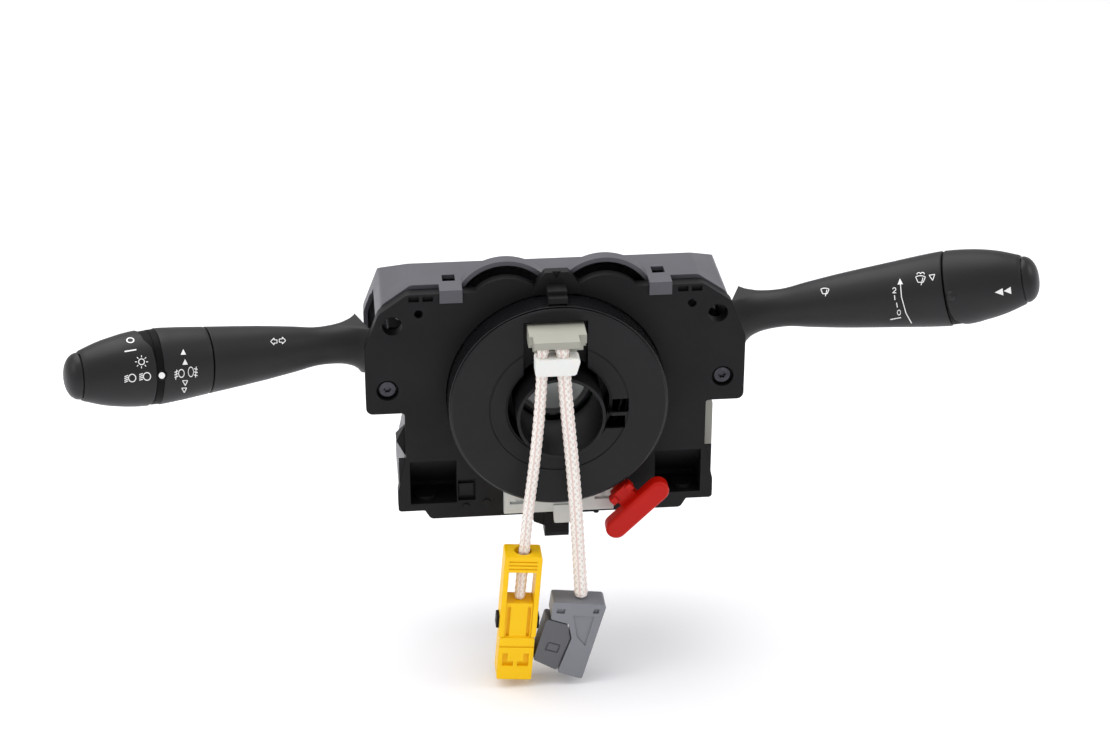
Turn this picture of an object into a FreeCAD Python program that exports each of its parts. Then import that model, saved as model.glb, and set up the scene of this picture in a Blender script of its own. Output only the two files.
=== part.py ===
"""Combination stalk switch of a steering column, as an assembly of separate pieces.

All sizes are millimetres. X runs to the driver's right, Y away from the driver, Z up. The origin is
on the steering column's axis at the rear mounting plane, so the face that the driver sees is at
negative Y. Each node is written to parts/NODE.step.
"""
import FreeCAD, Part

import math
import os

V = FreeCAD.Vector

# The drum's radius sets the height of the case, and the body's half width sets its width
DRUM_R = 47.5
BODY_HALF = 66.0           # half width below the ears

# Case: the front housing and the rear cover
CASE_DEPTH = 48.0          # mounting plane to the front face
FACE_T = 3.0               # thickness of the front plate
WALL = 2.0                 # walls of both case halves
SEAM_DEPTH = 6.0           # front face to the rear cover's edge
TOP_Z = DRUM_R + 2.2       # top edge of the front face
SHOULDER_HALF = BODY_HALF - 2.5   # half width where the top edge ends
SHOULDER_DROP = 8.7        # fall of the shoulder's first slope
SHOULDER_RUN = 12.5        # its width
EAR_HALF = BODY_HALF + 16.6       # half width across the ears
EAR_TOP_Z = 24.0
EAR_LOW_Z = -6.5
KEEL_Z = -DRUM_R - 12.2    # lowest edge of the case
FOOT_Z = KEEL_Z + 4.3
FLARE_LOW_Z = KEEL_Z + 13.7
FLARE_TOP_Z = FLARE_LOW_Z + 18.0
FOOT_HALF = BODY_HALF + 4.0       # half width at the foot
KEEL_HALF = FOOT_HALF - 11.7      # the deeper middle of the foot
COVER_INSET = 0.8          # rear cover inside the front outline
COVER_RISE = 1.9           # rear cover's top above the front edge
COVER_SLOPE_Y = -19.0      # where the cover's top starts to fall
COVER_BACK_Z = TOP_Z - 8.7 # top of the cover at the mounting plane
LOBE_X = 21.3
LOBE_Z = TOP_Z - 12.2
LOBE_R = 18.0
HUMP_R = 23.4              # arches of the rear cover behind the lobes
HUMP_Y = -36.0
COLUMN_R = 14.5            # bore for the steering column
RING_WALL = 2.0
RING_FRONT_Y = -35.0
SOCKET_OUT = 14.0          # rear sockets inside the body's half width
SOCKET_W = 28.0
SOCKET_LOW_Z = KEEL_Z + 12.7
SOCKET_H = 18.0
SOCKET_DEPTH = 15.0
SOCKETS = tuple((x, x + SOCKET_W, SOCKET_LOW_Z, SOCKET_LOW_Z + SOCKET_H)
                for x in (SOCKET_OUT - BODY_HALF, BODY_HALF - SOCKET_OUT - SOCKET_W))
BOARD_Y = -17.6
BOARD_T = 1.6
BOARD_HALF = BODY_HALF - 8.0
BOARD_LOW_Z = KEEL_Z + 6.7
POST_INSET = 4.0           # upper board posts inside the board's edge
POST_TOP_Z = -20.0
POST_IN = 16.0             # lower board posts from the middle
POST_RISE = 3.0            # their height over the board's low edge
BOARD_POSTS = ((POST_INSET - BOARD_HALF, POST_TOP_Z), (BOARD_HALF - POST_INSET, POST_TOP_Z),
               (-POST_IN, BOARD_LOW_Z + POST_RISE), (POST_IN, BOARD_LOW_Z + POST_RISE))

# Clearances
GAP = 0.3                  # between pieces that move past each other
SEAT = 0.05                # between pieces that are pressed or clipped together
FIT = 0.06                 # radial running fit of pins and rings
DRUM_GAP = 0.4             # between the drum and the front plate

# Fasteners and fixing holes
FIX_X = BODY_HALF + 4.2
FIX_Z = TOP_Z - 14.3
FIX_R = 4.3
FIX_BOSS_WALL = 1.5
FIX_FRONT_LEN = 5.7
FIX_REAR_LEN = 9.0
PILOT_X = BODY_HALF - 7.2
PILOT_Z = TOP_Z - 9.1
PILOT_R = 1.9
SCREW_X = BODY_HALF + 7.1
SCREW_Z = 4.8
SCREW_HEAD_R = 3.5
SCREW_HEAD_T = 2.0
SCREW_R = 1.7
SCREW_LEN = 16.0
SCREW_WELL_R = 4.8
SCREW_BOSS_R = 3.6
COWL_X = BODY_HALF - 8.5
COWL_Y = -39.7
COWL_R = 5.0
COWL_HOLE_R = 2.0
COWL_TOP_Z = KEEL_Z + 9.2
COWL_LOW_Z = KEEL_Z + 2.7

# Corner scoops of the front housing
SCOOP_IN = BODY_HALF - 22.0
SCOOP_OUT = BODY_HALF - 1.5
SCOOP_TOP_Z = KEEL_Z + 29.1
SCOOP_BACK_Y = -30.6
LEDGE_Z = KEEL_Z + 7.7
SCOOP_WALL = 1.8

# Coiled-ribbon unit
DRUM_WALL = 2.0
DRUM_FRONT_Y = -60.4
DRUM_BACK_Y = -37.0
DRUM_FLOOR = 2.5
DISC_R = DRUM_R - 0.7
DISC_FRONT_Y = -62.0
DISC_T = 1.3
HUB_OPENING_R = 23.0
HUB_R = 19.1
HUB_BORE_R = 17.7
HUB_FRONT_Y = -72.2
HUB_BACK_Y = -39.0
RIBBON_T = 0.8
RIBBON_WIDTH = 10.0
RIBBON_IN_R = 25.5
RIBBON_STEP = 1.4          # growth of the ribbon's radius each half turn
RIBBON_ROOM = 3.5          # left between the ribbon and the drum, for unwinding
RIBBON_HALF_TURNS = int((DRUM_R - DRUM_WALL - RIBBON_ROOM - RIBBON_T - RIBBON_IN_R) / RIBBON_STEP)
POCKET_LEFT = -15.2
POCKET_RIGHT = 12.2
POCKET_LOW_Z = 14.0
POCKET_TOP_Z = DISC_R - 5.8
POCKET_DEPTH = 5.0

# Lead plug, clamp and leads
PLUG_LEFT = -13.7
PLUG_RIGHT = 10.6
PLUG_TOP_Z = DISC_R - 7.3
PLUG_LOW_Z = PLUG_TOP_Z - 7.0
PLUG_FRONT_Y = -72.6
PLUG_HEAD = 6.8            # how far the head hangs over the leads
PLUG_HEAD_T = 3.0
LEAD_Y = -76.2
AIRBAG_LEAD_R = 2.5
SWITCH_LEAD_R = 3.0
AIRBAG_ROUTE = [(-8.2, 36.1), (-9.2, 11.5), (-11.8, -17.2), (-14.8, -41.0), (-16.9, -64.0), (-18.86, -85.1)]
SWITCH_ROUTE = [(-0.27, 36.1), (1.4, 10.9), (4.1, -18.1), (6.6, -52.0), (8.3, -85.5)]

# Yellow airbag connector, in its own frame: down its length from the top edge
YELLOW_X = -17.2
YELLOW_Z = -61.7
YELLOW_TILT = 4.6
YELLOW_W = 16.4
YELLOW_LEN = 63.0
YELLOW_T = 11.0
YELLOW_FRAME_LEN = 41.0
YELLOW_RAIL = 2.2
YELLOW_WINDOW_TOP = 8.0
YELLOW_PLUG_TOP = 24.0

# Grey switch connector
GREY_T = 11.0

# Red transport lock tag, at 45 degrees below right
TAG_ANGLE = -45.6
TAG_OUT = DRUM_R + 12.4379   # tag's middle from the axis, along its pull
TAG_SIDE = 10.8281         # its line from the axis
TAG_LEN = 35.0
TAG_W = 9.6
TAG_FRONT_Y = -66.5
TAG_BACK_Y = -60.5
TAG_NECK_W = 8.6
TAG_PIN_R = 1.8
TAG_PIN_Y = -55.2

# Levers, the same but for their rise
PIVOT_X = BODY_HALF
PIVOT_Y = -22.0
LEFT_PIVOT_Z = 18.5
RIGHT_PIVOT_Z = 21.3
SWEEP = 20.0               # degrees towards the driver
LEFT_RISE = 4.45
RIGHT_RISE = 13.7
OVAL = 0.82                # thickness of the grip over its height
GRIP_WALL = 2.2
NECK_R = 5.0
CORE_R = 7.0
BELL_START = 18.5
BELL_TOP = 9.2             # the bell is cut off above this height
GRIP = [(19.0, 13.6), (22.5, 11.0), (28.8, 9.1), (39.3, 8.6), (50.3, 10.2), (65.3, 12.2), (89.3, 14.7),
        (103.3, 16.1), (112.3, 16.6), (124.3, 15.8), (134.3, 13.9), (143.8, 10.7)]
CAP_SEAM = 143.8
LIGHT_SEAM = CAP_SEAM - 32.5
FOG_SEAM = LIGHT_SEAM - 22.4
GRIP_LENGTH = CAP_SEAM + 6.7
CORE_START = FOG_SEAM - 24.9
CORE_END = CAP_SEAM - 11.8
SEAM_GAP = 0.5
CAP_LIP = 0.9
BUTTON_TRAVEL = 1.5
RING_WEB = 5.0             # bearing web of a turning ring
MOUTH_DEPTH = 6.5          # seat of the end button in the outer ring

# Gimbal and detent of a lever
FRAME_X = 6.0
FRAME_Y = 9.0
FRAME_Z = 8.5
ROOT_Y = 3.6
ROOT_Z = 4.5
ROOT_IN = 12.0
ROOT_OUT = 9.0
PIN_R = 2.0
TRUNNION_R = 3.0
TRUNNION_LEN = 4.0
TRUNNION_BOSS_R = 5.5
TRACK_R = 18.0
PLUNGER_R = 1.8

FRONT_Y = -CASE_DEPTH
SEAM_Y = FRONT_Y + SEAM_DEPTH
COVER_TOP_Z = TOP_Z + COVER_RISE
RING_R = COLUMN_R + RING_WALL


def box(x0, x1, y0, y1, z0, z1):
    """Block between two corners."""
    return Part.makeBox(x1 - x0, y1 - y0, z1 - z0, V(x0, y0, z0))


def rod_y(radius, x, z, y0, y1):
    """Cylinder along Y."""
    return Part.makeCylinder(radius, y1 - y0, V(x, y0, z), V(0, 1, 0))


def rod_z(radius, x, y, z0, z1):
    """Cylinder along Z."""
    return Part.makeCylinder(radius, z1 - z0, V(x, y, z0), V(0, 0, 1))


def rod_x(radius, x0, x1):
    """Cylinder along the X axis."""
    return Part.makeCylinder(radius, x1 - x0, V(x0, 0, 0), V(1, 0, 0))


def tube_y(outer, inner, y0, y1):
    """Tube about the Y axis."""
    return rod_y(outer, 0, 0, y0, y1).cut(rod_y(inner, 0, 0, y0 - 1, y1 + 1))


def join(*shapes):
    """One solid from several that touch."""
    return shapes[0].fuse(list(shapes[1:])).removeSplitter()


def less(shape, *tools):
    """A shape with tools cut away."""
    return shape.cut(list(tools)).removeSplitter()


def other_side(shape):
    """Mirror image across the middle plane."""
    return shape.mirror(V(0, 0, 0), V(1, 0, 0))


def both_sides(shape):
    """A shape and its mirror image, as a list."""
    return [shape, other_side(shape)]


def outline(points, y):
    """Face in the XZ plane from corners (x, z, radius), rounded by tangent arcs."""
    corners = []
    for i, (x, z, radius) in enumerate(points):
        here = V(x, y, z)
        before = V(points[i - 1][0], y, points[i - 1][1]) - here
        after = V(points[(i + 1) % len(points)][0], y, points[(i + 1) % len(points)][1]) - here
        before.normalize()
        after.normalize()
        half = before.getAngle(after) / 2
        reach = radius / math.tan(half)
        middle = (before + after).normalize() * (radius / math.sin(half) - radius)
        corners.append((here + before * reach, here + middle, here + after * reach))
    edges = []
    for i, (start, middle, end) in enumerate(corners):
        if start.distanceToPoint(end) > 1e-6:
            edges.append(Part.Arc(start, middle, end).toShape())
        following = corners[(i + 1) % len(corners)][0]
        if end.distanceToPoint(following) > 1e-6:
            edges.append(Part.LineSegment(end, following).toShape())
    return Part.Face(Part.Wire(edges))


def slab(points, y0, y1):
    """Rounded outline made solid from y0 to y1."""
    return outline(points, y0).extrude(V(0, y1 - y0, 0))


def whole(half):
    """Closed outline from the corners of its right half, listed from the top down."""
    return half + [(-x, z, radius) for x, z, radius in reversed(half)]


def inset(points, distance):
    """Corners of a clockwise outline moved inwards by a distance."""
    moved = []
    for i, (x, z, radius) in enumerate(points):
        lines = []
        for a, b in ((points[i - 1], points[i]), (points[i], points[(i + 1) % len(points)])):
            length = math.hypot(b[0] - a[0], b[1] - a[1])
            dx, dz = (b[0] - a[0]) / length, (b[1] - a[1]) / length
            lines.append((a[0] + dz * distance, a[1] - dx * distance, dx, dz))
        (ax, az, adx, adz), (bx, bz, bdx, bdz) = lines
        cross = adx * bdz - adz * bdx
        along = ((bx - ax) * bdz - (bz - az) * bdx) / cross
        turn = -distance if cross < 0 else distance
        moved.append((ax + adx * along, az + adz * along, max(radius + turn, 0.2)))
    return moved


def prism_x(points, x0, x1):
    """Solid with the section (y, z) from x0 to x1."""
    corners = [V(x0, y, z) for y, z in points]
    return Part.Face(Part.makePolygon(corners + corners[:1])).extrude(V(x1 - x0, 0, 0))


def face_outline():
    """Corners of the front face."""
    return whole([
        (SHOULDER_HALF, TOP_Z, 4.0), (SHOULDER_HALF + SHOULDER_RUN, TOP_Z - SHOULDER_DROP, 5.0),
        (EAR_HALF, EAR_TOP_Z, 8.0), (EAR_HALF, EAR_LOW_Z, 3.0), (BODY_HALF, EAR_LOW_Z, 1.5),
        (BODY_HALF, FLARE_TOP_Z, 8.0), (FOOT_HALF, FLARE_LOW_Z, 8.0), (FOOT_HALF, FOOT_Z, 1.5),
        (KEEL_HALF, FOOT_Z, 0.8), (KEEL_HALF - 2.5, KEEL_Z, 2.5)])


def cover_outline():
    """Corners of the rear cover's section."""
    ear = EAR_HALF - COVER_INSET
    body = BODY_HALF - COVER_INSET
    foot = FOOT_HALF - COVER_INSET
    shoulder = SHOULDER_HALF - 2 * COVER_INSET
    return whole([
        (shoulder, COVER_TOP_Z, 4.0), (shoulder + SHOULDER_RUN, COVER_TOP_Z - SHOULDER_DROP, 5.0),
        (ear, EAR_TOP_Z, 8.0), (ear, EAR_LOW_Z + COVER_INSET, 3.0), (body, EAR_LOW_Z + COVER_INSET, 1.5),
        (body, FLARE_TOP_Z, 8.0), (foot, FLARE_LOW_Z, 8.0), (foot, COWL_LOW_Z, 4.0)])


def scoop(grow, x_in, x_out, front):
    """Wedge of a corner scoop, from x_in to x_out, its walls grown outwards."""
    low = LEDGE_Z - grow
    back = SCOOP_BACK_Y + grow
    rise = grow * 1.4
    return prism_x([(front, SCOOP_TOP_Z + rise + (FRONT_Y - front)), (back, LEDGE_Z + 2.0 + rise),
                    (back, low), (front, low)], x_in, x_out)


def fix_boss(x, y0, y1):
    """Round boss about a fixing hole."""
    return rod_y(FIX_R + FIX_BOSS_WALL, x, FIX_Z, y0, y1)


def face_bracket():
    """Centre bracket between the lobes, with its index notch, and the post over the drum."""
    top, mid, low = TOP_Z + 8.2, TOP_Z + 3.8, TOP_Z - 2.1
    plate = slab([(-4.7, top, 1.2), (5.3, top, 1.2), (8.6, mid, 2.0), (11.0, low, 0.5), (-10.4, low, 0.5),
                  (-8.0, mid, 2.0)], FRONT_Y - 0.8, FRONT_Y + 4.0)
    notch = slab([(-2.4, top + 1.1, 0.0), (2.7, top + 1.1, 0.0), (0.15, top - 3.0, 0.0)],
                 FRONT_Y - 1.0, FRONT_Y + 0.4)
    post = box(-4.3, 3.9, FRONT_Y - 11.5, FRONT_Y + 1.0, DRUM_R + 0.5, DRUM_R + 4.9)
    step = box(-4.5, 4.1, FRONT_Y - 12.0, FRONT_Y - 8.0, DRUM_R + 3.1, DRUM_R + 5.5)
    return join(less(plate, notch), less(post, step))


def front_housing():
    """Front plate with its skirt, lobes, ears, screw wells, scoops and lever trunnion bosses."""
    points = face_outline()
    body = slab(points, FRONT_Y, SEAM_Y - GAP)
    lobes = [rod_y(LOBE_R, x, LOBE_Z, FRONT_Y, FRONT_Y + 5.0) for x in (-LOBE_X, LOBE_X)]
    body = join(body, *lobes)
    inner = slab(inset(points, WALL), FRONT_Y + FACE_T, 0)
    inner_lobes = [rod_y(LOBE_R - WALL, x, LOBE_Z, FRONT_Y + FACE_T, 0) for x in (-LOBE_X, LOBE_X)]
    body = less(body, inner, *inner_lobes)
    scoop_walls = both_sides(scoop(SCOOP_WALL, SCOOP_IN - SCOOP_WALL, FOOT_HALF - COVER_INSET, FRONT_Y + 0.5))
    collar = rod_y(DRUM_R + DRUM_GAP + WALL, 0, 0, FRONT_Y + 0.5, SEAM_Y - GAP)
    wells = [rod_y(SCREW_WELL_R + 1.4, x, SCREW_Z, FRONT_Y + 0.5, FRONT_Y + 5.5) for x in (-SCREW_X, SCREW_X)]
    holes = [fix_boss(x, FRONT_Y + 0.5, FRONT_Y + FIX_FRONT_LEN) for x in (-FIX_X, FIX_X)]
    trunnions = [rod_y(TRUNNION_BOSS_R, -PIVOT_X, LEFT_PIVOT_Z, FRONT_Y + 1.0, PIVOT_Y - FRAME_Y - GAP),
                 rod_y(TRUNNION_BOSS_R, PIVOT_X, RIGHT_PIVOT_Z, FRONT_Y + 1.0, PIVOT_Y - FRAME_Y - GAP)]
    cowls = [rod_z(COWL_R, x, COWL_Y, COWL_LOW_Z, LEDGE_Z - 0.5) for x in (-COWL_X, COWL_X)]
    body = join(body, collar, face_bracket(), *scoop_walls, *wells, *holes, *trunnions, *cowls)
    cuts = [rod_y(DRUM_R + DRUM_GAP, 0, 0, FRONT_Y, 0)]
    cuts += both_sides(scoop(0.0, SCOOP_IN, SCOOP_OUT, FRONT_Y - 1.0))
    for x in (-1, 1):
        cuts.append(rod_y(SCREW_WELL_R, x * SCREW_X, SCREW_Z, FRONT_Y - 1, FRONT_Y + 3.5))
        cuts.append(rod_y(SCREW_R + 0.3, x * SCREW_X, SCREW_Z, FRONT_Y, 0))
        cuts.append(rod_y(FIX_R, x * FIX_X, FIX_Z, FRONT_Y - 1, 0))
        cuts.append(rod_y(PILOT_R, x * PILOT_X, PILOT_Z, FRONT_Y - 1, FRONT_Y + 6))
        cuts.append(rod_z(COWL_HOLE_R, x * COWL_X, COWL_Y, COWL_LOW_Z - 1, LEDGE_Z))
        for low in (SHOULDER_HALF - 11.0, SHOULDER_HALF - 5.0):
            cuts.append(box(min(x * low, x * (low + 4.5)), max(x * low, x * (low + 4.5)),
                            FRONT_Y - 1, FRONT_Y + 1.8, TOP_Z - 3.4, TOP_Z - 0.9))
    cuts.append(rod_y(TRUNNION_R + FIT, -PIVOT_X, LEFT_PIVOT_Z, PIVOT_Y - FRAME_Y - TRUNNION_LEN - GAP, 0))
    cuts.append(rod_y(TRUNNION_R + FIT, PIVOT_X, RIGHT_PIVOT_Z, PIVOT_Y - FRAME_Y - TRUNNION_LEN - GAP, 0))
    cuts.append(box(-43.5, -35.8, FRONT_Y - 1, FRONT_Y + 2.2, KEEL_Z + 8.6, KEEL_Z + 19.0))
    body = less(body, *cuts)
    pads = [rod_z(COWL_R, x, COWL_Y, LEDGE_Z - 0.4, COWL_TOP_Z) for x in (-COWL_X, COWL_X)]
    window = box(-43.2, -36.6, FRONT_Y + 0.9, FRONT_Y + 2.6, KEEL_Z + 10.7, KEEL_Z + 16.7)
    studs = [rod_y(1.5, x, KEEL_Z + up, FRONT_Y - 0.7, FRONT_Y + 0.5)
             for x, up in ((-40.1, 5.5), (-30.9, 7.3))]
    nub = prism_x([(-44.0, -30.0), (-44.0, -13.0), (-36.0, -22.0)], -BODY_HALF - 4.0, -BODY_HALF + 0.5)
    nub = nub.common(slab([(-BODY_HALF - 4.0, -22.0, 0.0), (-BODY_HALF + 0.6, -13.0, 0.0),
                           (-BODY_HALF + 0.6, -31.0, 0.0)], -45.0, -35.0))
    return join(body, window, nub, *pads, *studs)


def cover_form(shrink, y_front, y_back):
    """Solid form of the rear cover, shrunk for its cavity."""
    form = slab(inset(cover_outline(), shrink) if shrink else cover_outline(), y_front, y_back)
    for x in (-LOBE_X, LOBE_X):
        low_r = COVER_TOP_Z - LOBE_Z - shrink
        arch = rod_y(HUMP_R - shrink, x, LOBE_Z, y_front, HUMP_Y)
        slope = Part.makeCone(HUMP_R - shrink, low_r, COVER_SLOPE_Y - HUMP_Y, V(x, HUMP_Y, LOBE_Z),
                              V(0, 1, 0))
        form = form.fuse([arch, slope])
    sky = 90.0
    fall = prism_x([(COVER_SLOPE_Y, COVER_TOP_Z - shrink), (1.0, COVER_BACK_Z - shrink), (1.0, sky),
                    (COVER_SLOPE_Y, sky)], -EAR_HALF - 5, EAR_HALF + 5)
    return form.cut(fall).removeSplitter()


def snap_tongue(x0, x1):
    """Tongue of the rear cover that hooks over the front plate's top edge."""
    roof = box(x0, x1, FRONT_Y - 1.2, SEAM_Y + 2.0, TOP_Z + 0.2, COVER_TOP_Z)
    hook = box(x0, x1, FRONT_Y - 1.2, FRONT_Y - 0.1, TOP_Z - 4.0, COVER_TOP_Z)
    return join(roof, hook)


def rear_cover():
    """Rear tray with arches, lever openings, bosses, column tube and socket cut-outs."""
    body = less(cover_form(0.0, SEAM_Y, 0.0), cover_form(WALL, SEAM_Y - 1.0, -WALL))
    parts = [rod_y(RING_R + SEAT + WALL, 0, 0, RING_FRONT_Y + 2.0, -0.5)]
    for x, z in ((-PIVOT_X, LEFT_PIVOT_Z), (PIVOT_X, RIGHT_PIVOT_Z)):
        parts.append(rod_y(TRUNNION_BOSS_R, x, z, PIVOT_Y + FRAME_Y + GAP, -0.5))
    for x in (-1, 1):
        parts.append(rod_y(SCREW_BOSS_R, x * SCREW_X, SCREW_Z, FRONT_Y + 5.5, -0.5))
        parts.append(fix_boss(x * FIX_X, -FIX_REAR_LEN, -0.5))
    for x, z in BOARD_POSTS:
        parts.append(rod_y(2.5, x, z, BOARD_Y + BOARD_T, -0.5))
    parts += both_sides(snap_tongue(SHOULDER_HALF - 23.5, SHOULDER_HALF - 13.7))
    body = join(body, *parts)
    cuts = [rod_y(RING_R + SEAT, 0, 0, FRONT_Y, 1.0)]
    for x, z in ((-PIVOT_X, LEFT_PIVOT_Z), (PIVOT_X, RIGHT_PIVOT_Z)):
        cuts.append(rod_y(TRUNNION_R + FIT, x, z, -30.0, PIVOT_Y + FRAME_Y + TRUNNION_LEN + GAP))
        low, high = sorted((math.copysign(BODY_HALF + 10.5, x), math.copysign(EAR_HALF + 3, x)))
        cuts.append(box(low, high, SEAM_Y - 3, -7.0, z - 18.0, z + 14.5))
        low, high = sorted((math.copysign(BODY_HALF + 8.0, x), math.copysign(EAR_HALF + 3, x)))
        cuts.append(box(low, high, SEAM_Y - 3, -FIX_REAR_LEN - 0.5, z - 4.0, z + 17.5))
    for x in (-1, 1):
        cuts.append(rod_y(SCREW_R - 0.1 + FIT * 2, x * SCREW_X, SCREW_Z, FRONT_Y, FRONT_Y + SCREW_LEN + 6.0))
        cuts.append(rod_y(FIX_R, x * FIX_X, FIX_Z, -FIX_REAR_LEN - 1, 1.0))
    for x0, x1, z0, z1 in SOCKETS:
        cuts.append(box(x0 - SEAT, x1 + SEAT, -WALL - 0.5, 1.0, z0 - SEAT, z1 + SEAT))
    cuts += both_sides(box(SCOOP_IN - SCOOP_WALL - GAP, FOOT_HALF + 5,
                           SEAM_Y - 1, SCOOP_BACK_Y + SCOOP_WALL + GAP, KEEL_Z - 5, KEEL_Z + 15.2))
    cuts += both_sides(scoop(SCOOP_WALL + GAP, SCOOP_IN - SCOOP_WALL - GAP, FOOT_HALF + 5, SEAM_Y - 1))
    cuts += both_sides(box(SHOULDER_HALF - 21.0, SHOULDER_HALF - 15.5, -39.0, -32.5,
                           COVER_TOP_Z - 3, COVER_TOP_Z + 1))
    return less(body, *cuts)


def column_ring():
    """Light ring that the column passes through, with a front chamfer and two grip ribs."""
    profile = [V(COLUMN_R, RING_FRONT_Y + 1.0, 0), V(COLUMN_R + 0.8, RING_FRONT_Y, 0),
               V(RING_R, RING_FRONT_Y, 0), V(RING_R, 0, 0), V(COLUMN_R, 0, 0)]
    ring = Part.Face(Part.makePolygon(profile + profile[:1])).revolve(V(0, 0, 0), V(0, 1, 0), 360)
    ribs = [box(-1.2, 1.2, RING_FRONT_Y + 0.6, RING_FRONT_Y + 1.9, RING_R - 0.5, RING_R + 1.0)]
    ribs.append(ribs[0].mirror(V(0, 0, 0), V(0, 0, 1)))
    return join(ring, *ribs)


def stator_drum():
    """Fixed drum of the coiled-ribbon unit, an open cup with a seat flange behind the front plate."""
    wall = tube_y(DRUM_R, DRUM_R - DRUM_WALL, DRUM_FRONT_Y, DRUM_BACK_Y)
    floor = tube_y(DRUM_R, HUB_OPENING_R + 1.0, DRUM_BACK_Y - DRUM_FLOOR, DRUM_BACK_Y)
    flange = tube_y(DRUM_R + 1.7, DRUM_R - 0.5, SEAM_Y - GAP + SEAT, DRUM_BACK_Y)
    start = V(0, TAG_PIN_Y, 0) + tag_offset() + tag_direction() * 36.0
    hole = Part.makeCylinder(TAG_PIN_R + 0.3, 20.0, start, tag_direction())
    return less(join(wall, floor, flange), hole)


def ribbon_coil():
    """Flat ribbon cable wound as a spiral of half circles."""
    y0 = DRUM_BACK_Y - DRUM_FLOOR - GAP - RIBBON_WIDTH
    edges = []
    ends = []
    for offset in (0.0, RIBBON_T):
        side = 1
        x = side * (RIBBON_IN_R + offset)
        ends.append([V(x, y0, 0)])
        for k in range(RIBBON_HALF_TURNS):
            centre = 0.0 if k % 2 == 0 else RIBBON_STEP
            radius = RIBBON_IN_R + offset + k * RIBBON_STEP
            start = V(centre + side * radius, y0, 0)
            middle = V(centre, y0, side * radius)
            end = V(centre - side * radius, y0, 0)
            edges.append(Part.Arc(start, middle, end).toShape())
            side = -side
        ends[-1].append(end)
    edges.append(Part.LineSegment(ends[0][0], ends[1][0]).toShape())
    edges.append(Part.LineSegment(ends[0][1], ends[1][1]).toShape())
    return Part.Face(Part.Wire(Part.__sortEdges__(edges))).extrude(V(0, RIBBON_WIDTH, 0))


def rotor_disc():
    """Turning disc with its rim lip, inner tube, plug pocket and two windows."""
    back = DISC_FRONT_Y + DISC_T
    profile = [V(HUB_OPENING_R, DISC_FRONT_Y, 0), V(DISC_R - 0.8, DISC_FRONT_Y, 0),
               V(DISC_R, DISC_FRONT_Y + 0.6, 0), V(DISC_R, back, 0), V(HUB_OPENING_R, back, 0)]
    disc = Part.Face(Part.makePolygon(profile + profile[:1])).revolve(V(0, 0, 0), V(0, 1, 0), 360)
    lip_r = DRUM_R - DRUM_WALL - GAP
    lip = tube_y(lip_r, lip_r - 1.2, DISC_FRONT_Y + 0.5, DISC_FRONT_Y + 4.0)
    tube = tube_y(HUB_OPENING_R + 0.7, HUB_OPENING_R - 0.8, DISC_FRONT_Y + 0.5, -41.0)
    floor = tube_y(HUB_OPENING_R, HUB_R + SEAT, -43.5, -41.0)
    tray = box(POCKET_LEFT - 1.2, POCKET_RIGHT + 1.2, DISC_FRONT_Y + 0.5, DISC_FRONT_Y + POCKET_DEPTH + 1.2,
               POCKET_LOW_Z, POCKET_TOP_Z + 1.2)
    tray = tray.cut(rod_y(HUB_OPENING_R - 0.8, 0, 0, DISC_FRONT_Y, 0))
    seam = tube_y(30.2, 29.6, DISC_FRONT_Y - 1.0, DISC_FRONT_Y + 0.3)
    pocket = box(POCKET_LEFT, POCKET_RIGHT, DISC_FRONT_Y - 1.0, DISC_FRONT_Y + POCKET_DEPTH,
                 POCKET_LOW_Z, POCKET_TOP_Z)
    windows = [box(19.5, 30.0, DISC_FRONT_Y - 1, DISC_FRONT_Y + 5.0, -3.4, 3.1),
               box(19.0, 28.6, DISC_FRONT_Y - 1, DISC_FRONT_Y + 5.0, -11.0, -5.0)]
    return less(join(disc, lip, tube, floor, tray), seam, pocket, *windows)


def hub_sleeve():
    """Sleeve about the column, clipped in the disc by its rear flange."""
    sleeve = tube_y(HUB_R, HUB_BORE_R, HUB_FRONT_Y, HUB_BACK_Y)
    flange = tube_y(HUB_R + 1.2, HUB_R - 0.5, -41.0 + SEAT, HUB_BACK_Y)
    return join(sleeve, flange)


def lead_plug():
    """Plug in the disc's pocket, with a head over the two leads and side catches."""
    body = box(PLUG_LEFT, PLUG_RIGHT, PLUG_FRONT_Y, DISC_FRONT_Y + POCKET_DEPTH, PLUG_LOW_Z, PLUG_TOP_Z)
    head = box(PLUG_LEFT + 1.5, PLUG_RIGHT - 3.5, PLUG_FRONT_Y - PLUG_HEAD, PLUG_FRONT_Y + 1.0,
               PLUG_TOP_Z - PLUG_HEAD_T, PLUG_TOP_Z)
    foot = box(PLUG_LEFT + 3.0, PLUG_RIGHT - 3.0, DISC_FRONT_Y + 0.6, DISC_FRONT_Y + POCKET_DEPTH,
               PLUG_LOW_Z - 6.5, PLUG_LOW_Z)
    slots = [box(x0, x1, PLUG_FRONT_Y - 1, PLUG_FRONT_Y + 4.0, PLUG_LOW_Z - 1, PLUG_LOW_Z + 3.0)
             for x0, x1 in ((PLUG_LEFT - 1, PLUG_LEFT + 1.5), (PLUG_RIGHT - 1.5, PLUG_RIGHT + 1))]
    return less(join(body, head, foot), *slots)


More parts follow.
